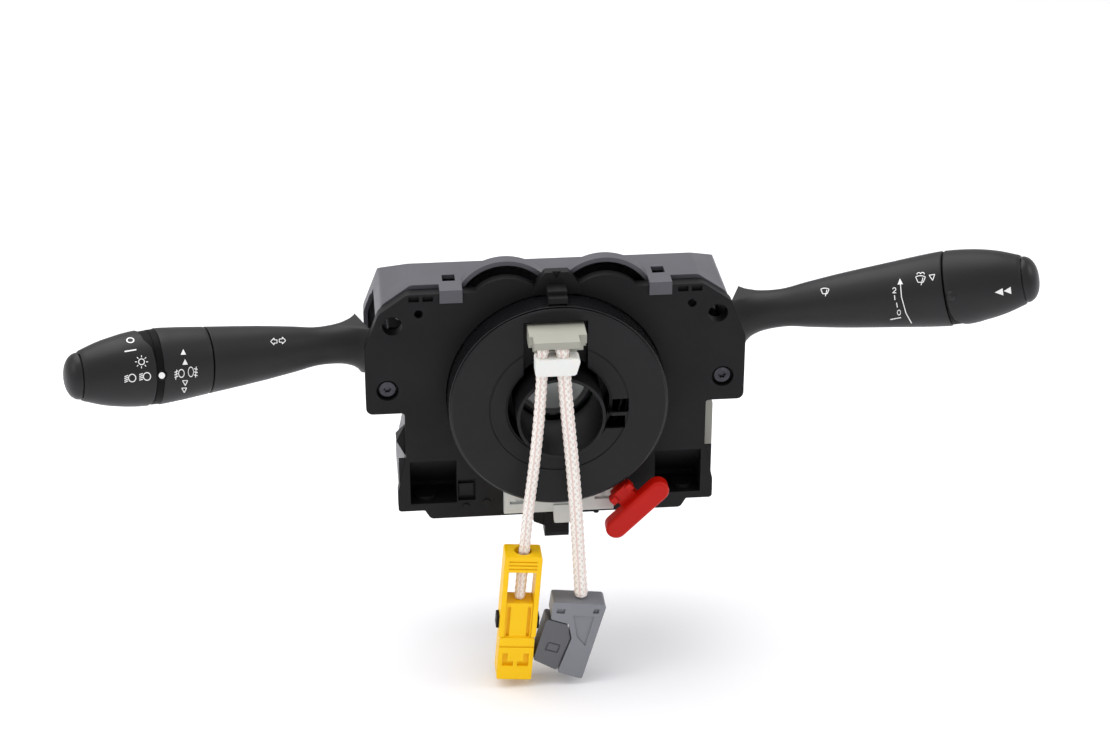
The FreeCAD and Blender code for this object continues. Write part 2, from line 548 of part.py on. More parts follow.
def bent_path(points):
    """Wire of straight runs joined by tangent arcs, and the arcs' radii."""
    edges = []
    radii = []
    start = points[0]
    for before, here, after in zip(points, points[1:], points[2:]):
        arriving = (here - before).normalize()
        leaving = (after - here).normalize()
        turn = arriving.getAngle(leaving)
        reach = 0.45 * min((here - before).Length, (after - here).Length)
        radius = reach / math.tan(turn / 2)
        enter = here - arriving * reach
        leave = here + leaving * reach
        inward = (leaving - arriving).normalize()
        middle = here + inward * (radius / math.cos(turn / 2) - radius)
        edges.append(Part.LineSegment(start, enter).toShape())
        edges.append(Part.Arc(enter, middle, leave).toShape())
        radii.append(round(radius, 1))
        start = leave
    edges.append(Part.LineSegment(start, points[-1]).toShape())
    return Part.Wire(edges), radii


def lead(name, route, radius):
    """Round lead along its route in the plane of the leads."""
    points = [V(x, LEAD_Y, z) for x, z in route]
    path, radii = bent_path(points)
    circle = Part.Wire(Part.Circle(points[0], points[1] - points[0], radius).toShape())
    tube = path.makePipeShell([circle], True, False)
    expected = math.pi * radius ** 2 * path.Length
    print(name, "length", round(path.Length, 1), "radii", radii, "volume over expected",
          round(tube.Volume / expected, 4))
    return tube


def airbag_lead():
    """Braided lead to the yellow connector."""
    return lead("airbag_lead", AIRBAG_ROUTE, AIRBAG_LEAD_R)


def switch_lead():
    """Braided lead to the grey connector."""
    return lead("switch_lead", SWITCH_ROUTE, SWITCH_LEAD_R)


def lead_clamp():
    """White clamp about both leads below the plug."""
    block = slab([(-11.8, 32.0, 1.0), (7.6, 32.0, 1.5), (5.4, 24.2, 1.5), (-11.8, 24.2, 1.0)],
                 LEAD_Y - SWITCH_LEAD_R - 0.7, LEAD_Y + SWITCH_LEAD_R + 0.5)
    holes = []
    for route, radius in ((AIRBAG_ROUTE, AIRBAG_LEAD_R), (SWITCH_ROUTE, SWITCH_LEAD_R)):
        top, low = V(route[0][0], LEAD_Y, route[0][1]), V(route[1][0], LEAD_Y, route[1][1])
        holes.append(Part.makeCylinder(radius + 0.15, (low - top).Length, top, low - top))
    return less(block, *holes)


def yellow_frame(shape):
    """Move a piece from the yellow connector's own frame to its place."""
    shape.rotate(V(0, 0, 0), V(0, 1, 0), YELLOW_TILT)
    shape.translate(V(YELLOW_X, LEAD_Y, YELLOW_Z))
    return shape


def airbag_connector_frame():
    """Yellow locking frame with its window, finger bar and guide rails."""
    half, deep = YELLOW_W / 2, YELLOW_T / 2
    body = box(-half, half, -deep, deep, -YELLOW_FRAME_LEN, 0)
    body = body.makeFillet(1.2, [edge for edge in body.Edges if abs(edge.tangentAt(0).y) > 0.9])
    window = box(-half + YELLOW_RAIL, half - YELLOW_RAIL, -deep - 1, deep + 1,
                 -YELLOW_FRAME_LEN - 1, -YELLOW_WINDOW_TOP)
    bore = rod_z(AIRBAG_LEAD_R + 1.3, 0, 0, -YELLOW_WINDOW_TOP - 1, 1)
    grips = [box(-half + 2, half - 2, -deep - 0.1, -deep + 0.5, -z - 0.6, -z) for z in (2.4, 4.2, 6.0)]
    return yellow_frame(less(body, window, bore, *grips))


def airbag_connector_plug():
    """Yellow plug body that slides in the frame, with latch slots and the mating nose."""
    half, deep = YELLOW_W / 2, YELLOW_T / 2
    inner = half - YELLOW_RAIL - SEAT * 2
    neck = box(-inner, inner, -deep + 0.8, deep - 0.8, -YELLOW_FRAME_LEN - 1, -YELLOW_PLUG_TOP)
    nose = box(-half + 0.4, half - 0.4, -deep, deep, -YELLOW_LEN, -YELLOW_FRAME_LEN - 0.4)
    nose = nose.makeFillet(1.0, [edge for edge in nose.Edges if abs(edge.tangentAt(0).y) > 0.9])
    cavity = box(-4.6, 4.6, -2.8, 2.8, -YELLOW_LEN - 1, -YELLOW_LEN + 9.0)
    slits = [box(x - 0.7, x + 0.7, -deep - 1, -deep + 2.2, -41.0, -26.0) for x in (-inner + 1.4, inner - 1.4)]
    tongues = [box(x0, x1, -deep - 1, -deep + 1.6, -56.0, -49.5) for x0, x1 in ((-5.8, -3.6), (3.6, 5.8))]
    tongues += [box(x0, x1, -deep - 1, -deep + 1.6, -56.0, -53.6) for x0, x1 in ((-3.8, -1.0), (1.0, 3.8))]
    step = box(-half, half, -deep - 1, -deep + 0.5, -46.4, -45.6)
    return yellow_frame(less(join(neck, nose), cavity, step, *slits, *tongues))


def airbag_connector_clips():
    """Two small black side clips of the yellow connector."""
    half = YELLOW_W / 2
    clip = box(half, half + 1.3, -2.6, 2.6, -38.0, -32.0)
    clip = clip.makeFillet(0.5, [edge for edge in clip.Edges if abs(edge.tangentAt(0).y) > 0.9
                                 and edge.CenterOfMass.x > half + 0.5])
    return yellow_frame(Part.makeCompound(both_sides(clip)))


def switch_connector_body():
    """Grey connector body with its cable hood, square openings and mating cavity."""
    y0, y1 = LEAD_Y - GREY_T / 2, LEAD_Y + GREY_T / 2
    body = slab([(-4.4, -85.6, 1.0), (19.2, -88.2, 1.5), (8.2, -126.2, 1.0), (-2.6, -122.0, 0.8),
                 (3.6, -105.0, 1.5), (2.4, -97.2, 1.0), (-5.6, -94.2, 1.0)], y0, y1)
    recess = slab([(-2.6, -89.0, 0.3), (1.0, -89.4, 0.3), (0.4, -91.8, 0.3), (-3.2, -91.2, 0.3)],
                  y0 - 1, y0 + 1.2)
    other = slab([(13.6, -90.2, 0.3), (16.0, -90.4, 0.3), (15.6, -92.6, 0.3), (13.0, -92.4, 0.3)],
                 y0 - 1, y0 + 1.2)
    groove = slab([(4.4, -93.0, 0.2), (13.6, -94.0, 0.2), (9.6, -109.0, 0.2), (6.0, -104.0, 0.2)],
                  y0 - 1, y0 + 0.5)
    mouth = slab([(5.0, -115.5, 0.5), (8.6, -114.5, 0.5), (5.8, -129.0, 0.5), (0.6, -127.0, 0.5)],
                 y0 + 2.0, y1 - 2.0)
    return less(body, recess, other, groove, mouth)


def switch_connector_slider():
    """Darker locking slider beside the grey connector."""
    y0, y1 = LEAD_Y - GREY_T / 2 + 0.8, LEAD_Y + GREY_T / 2 - 0.8
    body = slab([(-7.4, -94.6, 1.2), (1.9, -98.0, 1.0), (3.1, -105.0, 1.2), (-3.1, -121.4, 1.0),
                 (-13.4, -115.2, 1.2)], y0, y1)
    frame = slab([(-7.0, -106.2, 0.4), (-1.2, -108.2, 0.4), (-2.6, -112.4, 0.4), (-8.4, -110.4, 0.4)],
                 y0 - 1, y0 + 0.5)
    pad = slab([(-6.4, -106.9, 0.3), (-1.9, -108.6, 0.3), (-3.0, -111.7, 0.3), (-7.6, -110.0, 0.3)],
               y0 + 0.1, y0 + 0.8)
    return join(less(body, frame), pad)


def tag_direction():
    """Direction in which the lock tag pulls out."""
    turn = math.radians(TAG_ANGLE)
    return V(math.cos(turn), 0, math.sin(turn))


def lock_tag():
    """Red transport tag: an oval handle, a neck with two catches and the pin in the drum wall."""
    half = TAG_LEN / 2 - TAG_W / 2
    low, high = -half - TAG_W / 2, half + TAG_W / 2
    round_end = TAG_W / 2 - 0.05
    handle = slab([(-TAG_W / 2, high, round_end), (TAG_W / 2, high, round_end), (TAG_W / 2, low, round_end),
                   (-TAG_W / 2, low, round_end)], TAG_FRONT_Y, TAG_BACK_Y)
    rim = [edge for edge in handle.Edges if abs(edge.CenterOfMass.y - TAG_FRONT_Y) < 0.01]
    handle = handle.makeFillet(1.6, rim)
    root = DRUM_R - TAG_OUT + 0.9
    neck = box(root, 0, TAG_BACK_Y - 1.5, TAG_BACK_Y + 4.0, -TAG_NECK_W / 2, TAG_NECK_W / 2)
    catches = [box(root + 0.4, root + 3.6, TAG_BACK_Y - 2.6, TAG_BACK_Y - 1.4, z, z + 3.0)
               for z in (-6.0, 3.0)]
    catches += [box(root + 0.4, root + 3.6, TAG_BACK_Y - 2.6, TAG_BACK_Y + 2.0, z, z + 2.0)
                for z in (-6.0, 4.0)]
    shank = box(root, root + 3.0, TAG_BACK_Y + 1.0, TAG_PIN_Y + TAG_PIN_R, -2.4, 2.4)
    body = join(handle, neck, shank, *catches)
    body.rotate(V(0, 0, 0), V(0, 1, 0), -TAG_ANGLE)
    body.translate(tag_offset() + tag_direction() * TAG_OUT)
    along = math.sqrt((DRUM_R - DRUM_WALL) ** 2 - TAG_SIDE ** 2) + 0.2
    tip = V(0, TAG_PIN_Y, 0) + tag_offset() + tag_direction() * along
    pin = Part.makeCylinder(TAG_PIN_R, TAG_OUT + root + 1.5 - along, tip, tag_direction())
    return join(body, pin)


def tag_offset():
    """Sideways distance of the tag's line from the column's axis."""
    turn = math.radians(TAG_ANGLE)
    return V(math.sin(turn), 0, -math.cos(turn)) * TAG_SIDE


def retaining_clip():
    """Light clip below the drum, with two hook recesses and a middle tab."""
    low = KEEL_Z
    plate = box(-23.5, 25.4, FRONT_Y - 5.0, FRONT_Y, low + 2.4, low + 19.7)
    ledge = box(-24.5, 26.4, FRONT_Y - 5.1, FRONT_Y - 3.0, low - 0.3, low + 5.1)
    tab = slab([(-1.8, low + 7.2, 0.2), (8.1, low + 7.2, 0.2), (7.6, low - 1.9, 0.8), (-1.4, low - 1.9, 0.8)],
               FRONT_Y - 5.8, FRONT_Y - 3.0)
    drum = rod_y(DRUM_R + GAP, 0, 0, FRONT_Y - 10, 0)
    recesses = [box(-21.0, -15.2, FRONT_Y - 6, FRONT_Y - 3.4, low + 8.1, low + 9.5),
                box(-18.2, -15.2, FRONT_Y - 6, FRONT_Y - 3.4, low + 8.1, low + 11.1),
                box(16.6, 23.4, FRONT_Y - 6, FRONT_Y - 3.4, low + 8.9, low + 10.3),
                box(19.6, 21.0, FRONT_Y - 6, FRONT_Y - 3.4, low + 8.9, low + 13.3)]
    return less(join(less(plate, drum, ledge), tab), *recesses)


def latch_block():
    """Black spring latch under the foot, with its side gusset."""
    low = KEEL_Z - 12.4
    body = box(-5.0, 5.8, FRONT_Y, FRONT_Y + 9.0, low, KEEL_Z)
    bevel = prism_x([(FRONT_Y - 1, low + 5.0), (FRONT_Y + 1.6, low - 1), (FRONT_Y - 1, low - 1)], -6, 7)
    hollow = box(-3.4, 4.2, FRONT_Y + 3.0, FRONT_Y + 10.0, low + 2.0, KEEL_Z - 2.0)
    gusset = slab([(-10.4, KEEL_Z, 0.1), (-4.6, KEEL_Z, 0.1), (-4.6, KEEL_Z - 7.0, 0.1),
                   (-10.0, KEEL_Z - 4.6, 0.4)], FRONT_Y + 1.0, FRONT_Y + 4.5)
    stud = rod_z(1.2, 18.2, FRONT_Y + 2.0, KEEL_Z - 1.6, KEEL_Z)
    arm = box(5.0, 18.6, FRONT_Y + 1.2, FRONT_Y + 2.8, KEEL_Z - 1.0, KEEL_Z)
    return join(less(body, bevel, hollow), gusset, arm, stud)


def terminal_cover():
    """Natural grey terminal cover on the right side wall."""
    side = BODY_HALF - COVER_INSET
    top, low = FLARE_TOP_Z + 15.0, FLARE_TOP_Z - 12.0
    flare = FOOT_HALF - BODY_HALF
    outer = side + flare + 2.2
    inner = side + 0.8 * flare
    return slab([(side, top, 0.4), (outer, top - 1.0, 1.2), (outer, low, 1.2), (inner, low, 0.4),
                 (side + 0.4, FLARE_TOP_Z + 0.5, 0.4), (side, FLARE_TOP_Z + 2.0, 0.2)], -34.5, -14.0)


def case_screws():
    """Two screws in the wells of the ears, with hexalobular recesses."""
    screws = []
    head_y = FRONT_Y + 3.5 - SCREW_HEAD_T
    for x in (-SCREW_X, SCREW_X):
        head = rod_y(SCREW_HEAD_R, x, SCREW_Z, head_y, head_y + SCREW_HEAD_T)
        shank = rod_y(SCREW_R, x, SCREW_Z, head_y + SCREW_HEAD_T, head_y + SCREW_LEN)
        lobes = [rod_y(0.5, x + 1.2 * math.cos(k * math.pi / 3), SCREW_Z + 1.2 * math.sin(k * math.pi / 3),
                       head_y - 1, head_y + 1.2) for k in range(6)]
        screws.append(less(join(head, shank), rod_y(1.25, x, SCREW_Z, head_y - 1, head_y + 1.2), *lobes))
    return Part.makeCompound(screws)


def circuit_board():
    """Board below the column, with its notch and post screws' holes."""
    half, low = BOARD_HALF, BOARD_LOW_Z
    board = slab([(-half, -4.0, 2.0), (half, -4.0, 2.0), (half, low + 11.0, 3.0), (half - 18.0, low, 3.0),
                  (18.0 - half, low, 3.0), (-half, low + 11.0, 3.0)], BOARD_Y, BOARD_Y + BOARD_T)
    notch = rod_y(RING_R + WALL + 2.0, 0, 0, BOARD_Y - 1, BOARD_Y + BOARD_T + 1)
    chips = [box(-12.0, 2.0, BOARD_Y - 1.6, BOARD_Y, -44.0, -30.0),
             box(8.0, 16.0, BOARD_Y - 1.2, BOARD_Y, -42.0, -34.0)]
    return join(less(board, notch), *chips)


def socket_shell(x0, x1, z0, z1):
    """Rear socket, an open box with a key rib on its long wall."""
    shell = box(x0, x1, -SOCKET_DEPTH, 0, z0, z1)
    shell = less(shell, box(x0 + 1.6, x1 - 1.6, -SOCKET_DEPTH + 2.0, 1, z0 + 1.6, z1 - 1.6))
    middle = (x0 + x1) / 2
    return join(shell, box(middle - 1.5, middle + 1.5, -SOCKET_DEPTH + 1.0, -1.0, z1 - 3.2, z1 - 1.0))


def socket_pins():
    """Contact blades of both rear sockets, in two rows each."""
    blades = []
    for x0, x1, z0, z1 in SOCKETS:
        for k in range(6):
            x = x0 + (k + 1) * (x1 - x0) / 7
            for z in (z0 + 5.5, z1 - 6.5):
                blades.append(box(x - 0.4, x + 0.4, -SOCKET_DEPTH + 2.0, -5.0, z - 0.9, z + 0.9))
    return Part.makeCompound(blades)


def switch_block(pivot_z):
    """Right-hand switch block with the hollow detent track about the lever's pivot."""
    near, far = PIVOT_X - 12.0, PIVOT_X - 30.0
    block = slab([(far, pivot_z + 11.0, 1.5), (near, pivot_z + 11.0, 1.5), (near, pivot_z - 11.0, 1.5),
                  (far, pivot_z - 11.0, 1.5)], -29.0, -WALL)
    track = Part.makeSphere(TRACK_R, V(PIVOT_X, PIVOT_Y, pivot_z))
    slots = [box(far + 2.5, far + 8.0, -30.0, -26.5, z, z + 2.0)
             for z in (pivot_z - 7.0, pivot_z - 1.0, pivot_z + 5.0)]
    return less(block, track, *slots)


def carrier(pivot_z):
    """Right-hand gimbal frame with two trunnions and the pin hole."""
    frame = box(-FRAME_X, FRAME_X, -FRAME_Y, FRAME_Y, -FRAME_Z, FRAME_Z)
    frame = frame.makeFillet(1.2, [edge for edge in frame.Edges if abs(edge.tangentAt(0).y) > 0.9])
    window = box(-FRAME_X - 1, FRAME_X + 1, -ROOT_Y - 1.4, ROOT_Y + 1.4, -ROOT_Z - 0.2, ROOT_Z + 0.2)
    trunnions = rod_y(TRUNNION_R, 0, 0, -FRAME_Y - TRUNNION_LEN, -FRAME_Y + 1)
    other = rod_y(TRUNNION_R, 0, 0, FRAME_Y - 1, FRAME_Y + TRUNNION_LEN)
    hole = rod_z(PIN_R, 0, 0, -FRAME_Z - 1, FRAME_Z + 1)
    body = less(join(frame, trunnions, other), window, hole)
    body.translate(V(PIVOT_X, PIVOT_Y, pivot_z))
    return body


def pivot_pin(pivot_z):
    """Pin on which the lever swings towards the driver."""
    return rod_z(PIN_R - SEAT, PIVOT_X, PIVOT_Y, pivot_z - FRAME_Z, pivot_z + FRAME_Z)


def set_lever(shape, rise, pivot_z):
    """Move a piece from the lever's own frame, its axis along X, to its place on the right."""
    shape.rotate(V(0, 0, 0), V(0, 1, 0), -rise)
    shape.rotate(V(0, 0, 0), V(0, 0, 1), -SWEEP)
    shape.translate(V(PIVOT_X, PIVOT_Y, pivot_z))
    return shape


def grip_spline():
    """Curve of the grip's half height along its axis."""
    spline = Part.BSplineCurve()
    spline.interpolate([V(t, 0, h) for t, h in GRIP])
    return spline


GRIP_SPLINE = grip_spline()


def grip_height(place):
    """Half height of the grip at a place on its axis."""
    low, high = GRIP_SPLINE.FirstParameter, GRIP_SPLINE.LastParameter
    for _ in range(40):
        middle = (low + high) / 2
        if GRIP_SPLINE.value(middle).x < place:
            low = middle
        else:
            high = middle
    return GRIP_SPLINE.value(low).z


def grip_line(start, end, shrink):
    """Smooth profile edge between two places on the axis, and its two end points."""
    low, high = min(start, end), max(start, end)
    between = [place for place, _ in GRIP if low + 1.5 < place < high - 1.5]
    if not between:
        between = [(low + high) / 2]
    places = [low] + between + [high]
    if start > end:
        places.reverse()
    points = [V(place, 0, grip_height(place) - shrink) for place in places]
    curve = Part.BSplineCurve()
    curve.interpolate(points)
    return curve.toShape(), points[0], points[-1]


def turned_oval(edges):
    """Solid of an oval section from its profile edges, listed in order, closed along the axis."""
    form = Part.Face(Part.Wire(Part.__sortEdges__(edges))).revolve(V(0, 0, 0), V(1, 0, 0), 360)
    flatten = FreeCAD.Matrix()
    flatten.scale(1.0, OVAL, 1.0)
    return form.transformGeometry(flatten)


def line(start, end):
    """Straight profile edge."""
    return Part.LineSegment(start, end).toShape()


def grip_shell(start, end, web_end, steps):
    """Hollow stretch of the grip, open at its outer end: a web at the inner end, then walls.

    steps lists (place, shrink) of the hollow from the open end inwards, each up to the next.
    """
    outer, first, last = grip_line(start, end, 0.0)
    edges = [outer]
    here = last
    for k, (place, shrink) in enumerate(steps):
        stop = steps[k + 1][0] if k + 1 < len(steps) else web_end
        inner, near, far = grip_line(place, stop, shrink)
        edges += [line(here, near), inner]
        here = far
    web, mouth = V(web_end, 0, 0), V(start, 0, 0)
    return turned_oval(edges + [line(here, web), line(web, mouth), line(mouth, first)])


def lever_shell(rise, pivot_z, seam):
    """Outer shell of a lever, from its bell to the first ring, hollow at its outer end."""
    root, mouth = V(BELL_START, 0, GRIP[0][1] + 0.9), V(BELL_START, 0, 0)
    outer, first, last = grip_line(GRIP[0][0], seam, 0.0)
    inner, near, far = grip_line(seam, CORE_START, GRIP_WALL)
    web = V(CORE_START, 0, 0)
    body = turned_oval([line(mouth, root), line(root, first), outer, line(last, near), inner, line(far, web),
                        line(web, mouth)])
    top = box(BELL_START - 1, 27.0, -20, 20, BELL_TOP, 30)
    bore = rod_x(NECK_R + SEAT, BELL_START - 1, CORE_START + 1)
    return set_lever(less(body, top, bore), rise, pivot_z)


def lever_core(rise, pivot_z, seam):
    """Moulded core of a lever: root with the pin's eye, neck, bearing rod and shell flange."""
    neck = rod_x(NECK_R, 3.0, CORE_START + 1)
    bearing = rod_x(CORE_R, CORE_START, CORE_END)
    rim, first, last = grip_line(seam - 4.0, seam - 0.5, GRIP_WALL + SEAT)
    flange = turned_oval([rim, line(last, V(last.x, 0, 0)), line(V(last.x, 0, 0), V(first.x, 0, 0)),
                          line(V(first.x, 0, 0), first)])
    wires = rod_x(3.0, CORE_START + 20, CORE_END + 1)
    stem = set_lever(less(join(neck, bearing, flange), wires), rise, pivot_z)
    root = box(-ROOT_IN, ROOT_OUT, -ROOT_Y, ROOT_Y, -ROOT_Z, ROOT_Z)
    root = root.makeFillet(1.0, [edge for edge in root.Edges if abs(edge.tangentAt(0).x) > 0.9])
    root.translate(V(PIVOT_X, PIVOT_Y, pivot_z))
    stop = box(PIVOT_X - 20, PIVOT_X + 7.8, PIVOT_Y - 20, PIVOT_Y + 20, pivot_z - 20, pivot_z + 20)
    eye = rod_z(PIN_R - SEAT + FIT, PIVOT_X, PIVOT_Y, pivot_z - 10, pivot_z + 10)
    socket = Part.makeCylinder(PLUNGER_R + SEAT, 8.0, V(PIVOT_X - ROOT_IN - 1, PIVOT_Y, pivot_z), V(1, 0, 0))
    return less(join(root, less(stem, stop)), eye, socket)


def plunger(pivot_z):
    """Detent plunger in the root of a lever, with a round nose on the track."""
    tip = PIVOT_X - TRACK_R + GAP
    start = V(PIVOT_X - ROOT_IN + 6.5, PIVOT_Y, pivot_z)
    body = Part.makeCylinder(PLUNGER_R, start.x - tip - PLUNGER_R, start, V(-1, 0, 0))
    return join(body, Part.makeSphere(PLUNGER_R, V(tip + PLUNGER_R, PIVOT_Y, pivot_z)))


def turning_ring(rise, pivot_z, start, end):
    """Ring that turns on the core: outer grip, bearing web at its inner end, hollow behind it."""
    body = grip_shell(start, end, start + RING_WEB, [(end, GRIP_WALL)])
    hub = rod_x(CORE_R + 1.6, start, end - 4.0)
    return set_lever(less(join(body, hub), rod_x(CORE_R + FIT, start - 1, end + 1)), rise, pivot_z)


def end_ring(rise, pivot_z):
    """Outer ring that turns on the core, with the seat for the end button in its mouth."""
    start = LIGHT_SEAM + SEAM_GAP
    body = grip_shell(start, CAP_SEAM, start + RING_WEB,
                      [(CAP_SEAM, CAP_LIP), (CAP_SEAM - MOUTH_DEPTH, GRIP_WALL)])
    hub = rod_x(CORE_R + 1.6, start, CORE_END - 6.0)
    return set_lever(less(join(body, hub), rod_x(CORE_R + FIT, start - 1, CORE_END + 1)), rise, pivot_z)


def end_button(rise, pivot_z):
    """Push button in the end of a lever, with its stem over the contact pad."""
    base = CAP_SEAM - MOUTH_DEPTH + BUTTON_TRAVEL + 0.6
    side, first, last = grip_line(base, CAP_SEAM, CAP_LIP + 0.12)
    dome = Part.Arc(last, V(CAP_SEAM + 0.74 * (GRIP_LENGTH - CAP_SEAM), 0, last.z * 0.62),
                    V(GRIP_LENGTH, 0, 0)).toShape()
    cap = turned_oval([side, dome, line(V(GRIP_LENGTH, 0, 0), V(base, 0, 0)), line(V(base, 0, 0), first)])
    stem = rod_x(3.4, CORE_END + 2.0 + BUTTON_TRAVEL + 0.2, base + 1.0)
    return set_lever(join(cap, stem), rise, pivot_z)


def contact_pad(rise, pivot_z):
    """Rubber contact pad on the core's end, under the button's stem."""
    foot = rod_x(5.4, CORE_END, CORE_END + 0.8)
    dome = Part.makeCone(3.6, 2.2, 1.2, V(CORE_END + 0.8, 0, 0), V(1, 0, 0))
    plug = rod_x(3.0 - SEAT, CORE_END - 3.0, CORE_END + 0.5)
    return set_lever(join(foot, dome, plug), rise, pivot_z)


def left(make, *sizes):
    """Left-hand twin of a right-hand lever piece."""
    return other_side(make(*sizes))


RIGHT = (RIGHT_RISE, RIGHT_PIVOT_Z)
LEFT = (LEFT_RISE, LEFT_PIVOT_Z)
NODES = {
    "front_housing": front_housing,
    "rear_cover": rear_cover,
    "column_ring": column_ring,
    "stator_drum": stator_drum,
    "ribbon_coil": ribbon_coil,
    "retaining_clip": retaining_clip,
    "latch_block": latch_block,
    "terminal_cover": terminal_cover,
    "case_screws": case_screws,
    "circuit_board": circuit_board,
    "rear_socket_left": lambda: socket_shell(*SOCKETS[0]),
    "rear_socket_right": lambda: socket_shell(*SOCKETS[1]),
    "socket_pins": socket_pins,
    "switch_block_left": lambda: left(switch_block, LEFT_PIVOT_Z),
    "switch_block_right": lambda: switch_block(RIGHT_PIVOT_Z),
    "lock_tag": lock_tag,
    "rotor_disc": rotor_disc,
    "hub_sleeve": hub_sleeve,
    "lead_plug": lead_plug,
    "lead_clamp": lead_clamp,
    "airbag_lead": airbag_lead,
    "switch_lead": switch_lead,
    "airbag_connector_frame": airbag_connector_frame,
    "airbag_connector_plug": airbag_connector_plug,
    "airbag_connector_clips": airbag_connector_clips,
    "switch_connector_body": switch_connector_body,
    "switch_connector_slider": switch_connector_slider,
    "left_carrier": lambda: left(carrier, LEFT_PIVOT_Z),
    "left_pivot_pin": lambda: left(pivot_pin, LEFT_PIVOT_Z),
    "left_lever_core": lambda: left(lever_core, *LEFT, FOG_SEAM),
    "left_lever_shell": lambda: left(lever_shell, *LEFT, FOG_SEAM),
    "left_plunger": lambda: left(plunger, LEFT_PIVOT_Z),
    "left_contact_pad": lambda: left(contact_pad, *LEFT),
    "fog_ring": lambda: left(turning_ring, *LEFT, FOG_SEAM + SEAM_GAP, LIGHT_SEAM),
    "light_ring": lambda: left(end_ring, *LEFT),
    "left_end_button": lambda: left(end_button, *LEFT),
    "right_carrier": lambda: carrier(RIGHT_PIVOT_Z),
    "right_pivot_pin": lambda: pivot_pin(RIGHT_PIVOT_Z),
    "right_lever_core": lambda: lever_core(*RIGHT, LIGHT_SEAM),
    "right_lever_shell": lambda: lever_shell(*RIGHT, LIGHT_SEAM),
    "right_plunger": lambda: plunger(RIGHT_PIVOT_Z),
    "right_contact_pad": lambda: contact_pad(*RIGHT),
    "rear_wiper_ring": lambda: end_ring(*RIGHT),
    "right_end_button": lambda: end_button(*RIGHT),
}

os.makedirs("parts", exist_ok=True)
for name, make in NODES.items():
    piece = make()
    piece.exportStep(os.path.join("parts", name + ".step"))
    print(name, "solids", len(piece.Solids), "volume", round(piece.Volume), "valid", piece.isValid())
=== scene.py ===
"""Looks of a combination stalk switch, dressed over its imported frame.

Sizes in the classes are millimetres, and marks are placed in pixels of the 1110 x 740 view. Every
piece is built in the frame's own axes: X to the driver's right, Y away from the driver, Z up.
"""
import logging
import math
from dataclasses import dataclass, field
from enum import Enum

import bmesh
import bpy
from mathutils import Matrix, Vector
from mathutils.bvhtree import BVHTree


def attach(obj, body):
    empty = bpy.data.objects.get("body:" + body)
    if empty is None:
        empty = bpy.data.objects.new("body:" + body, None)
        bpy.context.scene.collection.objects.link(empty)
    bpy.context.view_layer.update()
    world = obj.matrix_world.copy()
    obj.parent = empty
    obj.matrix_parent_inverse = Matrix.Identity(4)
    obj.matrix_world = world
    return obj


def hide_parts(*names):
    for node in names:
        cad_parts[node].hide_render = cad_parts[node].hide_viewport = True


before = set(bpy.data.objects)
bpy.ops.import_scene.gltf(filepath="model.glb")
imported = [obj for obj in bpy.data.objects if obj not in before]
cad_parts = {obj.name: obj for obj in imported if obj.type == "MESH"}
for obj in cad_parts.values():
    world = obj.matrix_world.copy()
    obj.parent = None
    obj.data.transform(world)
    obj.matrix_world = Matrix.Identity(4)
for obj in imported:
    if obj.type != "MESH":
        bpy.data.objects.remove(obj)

LOG = logging.getLogger("stalk_switch")
MM = 0.001
VIEW_WIDTH = 1110
VIEW_HEIGHT = 740
FLOW_CLOUD = 22.0    # mm across a faint flow mark in moulded plastic
PLATING_PATCH = 2.5  # mm across a duller patch in plating
SENSOR = 36.0        # mm, width of the camera's film
DISPLAY_CURVE = "Standard"


def linear(hex_colour: str) -> tuple[float, float, float, float]:
    """Turns an sRGB hex colour to linear light.

    Args:
        hex_colour: Six hex digits after a hash sign.

    Returns:
        Red, green, blue and alpha in linear light.
    """
    values = [int(hex_colour[k:k + 2], 16) / 255 for k in (1, 3, 5)]
    red, green, blue = [v / 12.92 if v <= 0.04045 else ((v + 0.055) / 1.055) ** 2.4 for v in values]
    return red, green, blue, 1.0


def add_node(tree: bpy.types.NodeTree, kind: str, values: dict | None = None, links: dict | None = None,
             **settings: object) -> bpy.types.Node:
    """Adds one shader node with its settings and links.

    Args:
        tree: Node tree of the material.
        kind: Blender's name of the node type.
        values: Constants for named or numbered sockets.
        links: Output sockets to join to named or numbered sockets.
        settings: The node's own properties.

    Returns:
        The new node.
    """
    node = tree.nodes.new(kind)
    for name, value in settings.items():
        setattr(node, name, value)
    for name, value in (values or {}).items():
        node.inputs[name].default_value = value
    for name, source in (links or {}).items():
        tree.links.new(source, node.inputs[name])
    return node


def new_material(name: str) -> tuple[bpy.types.Material, bpy.types.NodeTree]:
    """Makes an empty node material.

    Args:
        name: Its name.

    Returns:
        The material and its node tree.
    """
    material = bpy.data.materials.new(name)
    material.use_nodes = True
    material.node_tree.nodes.clear()
    return material, material.node_tree


class Coordinates(Enum):
    """Where a pattern takes its place from."""

    OBJECT = "Object"
    UV = "UV"


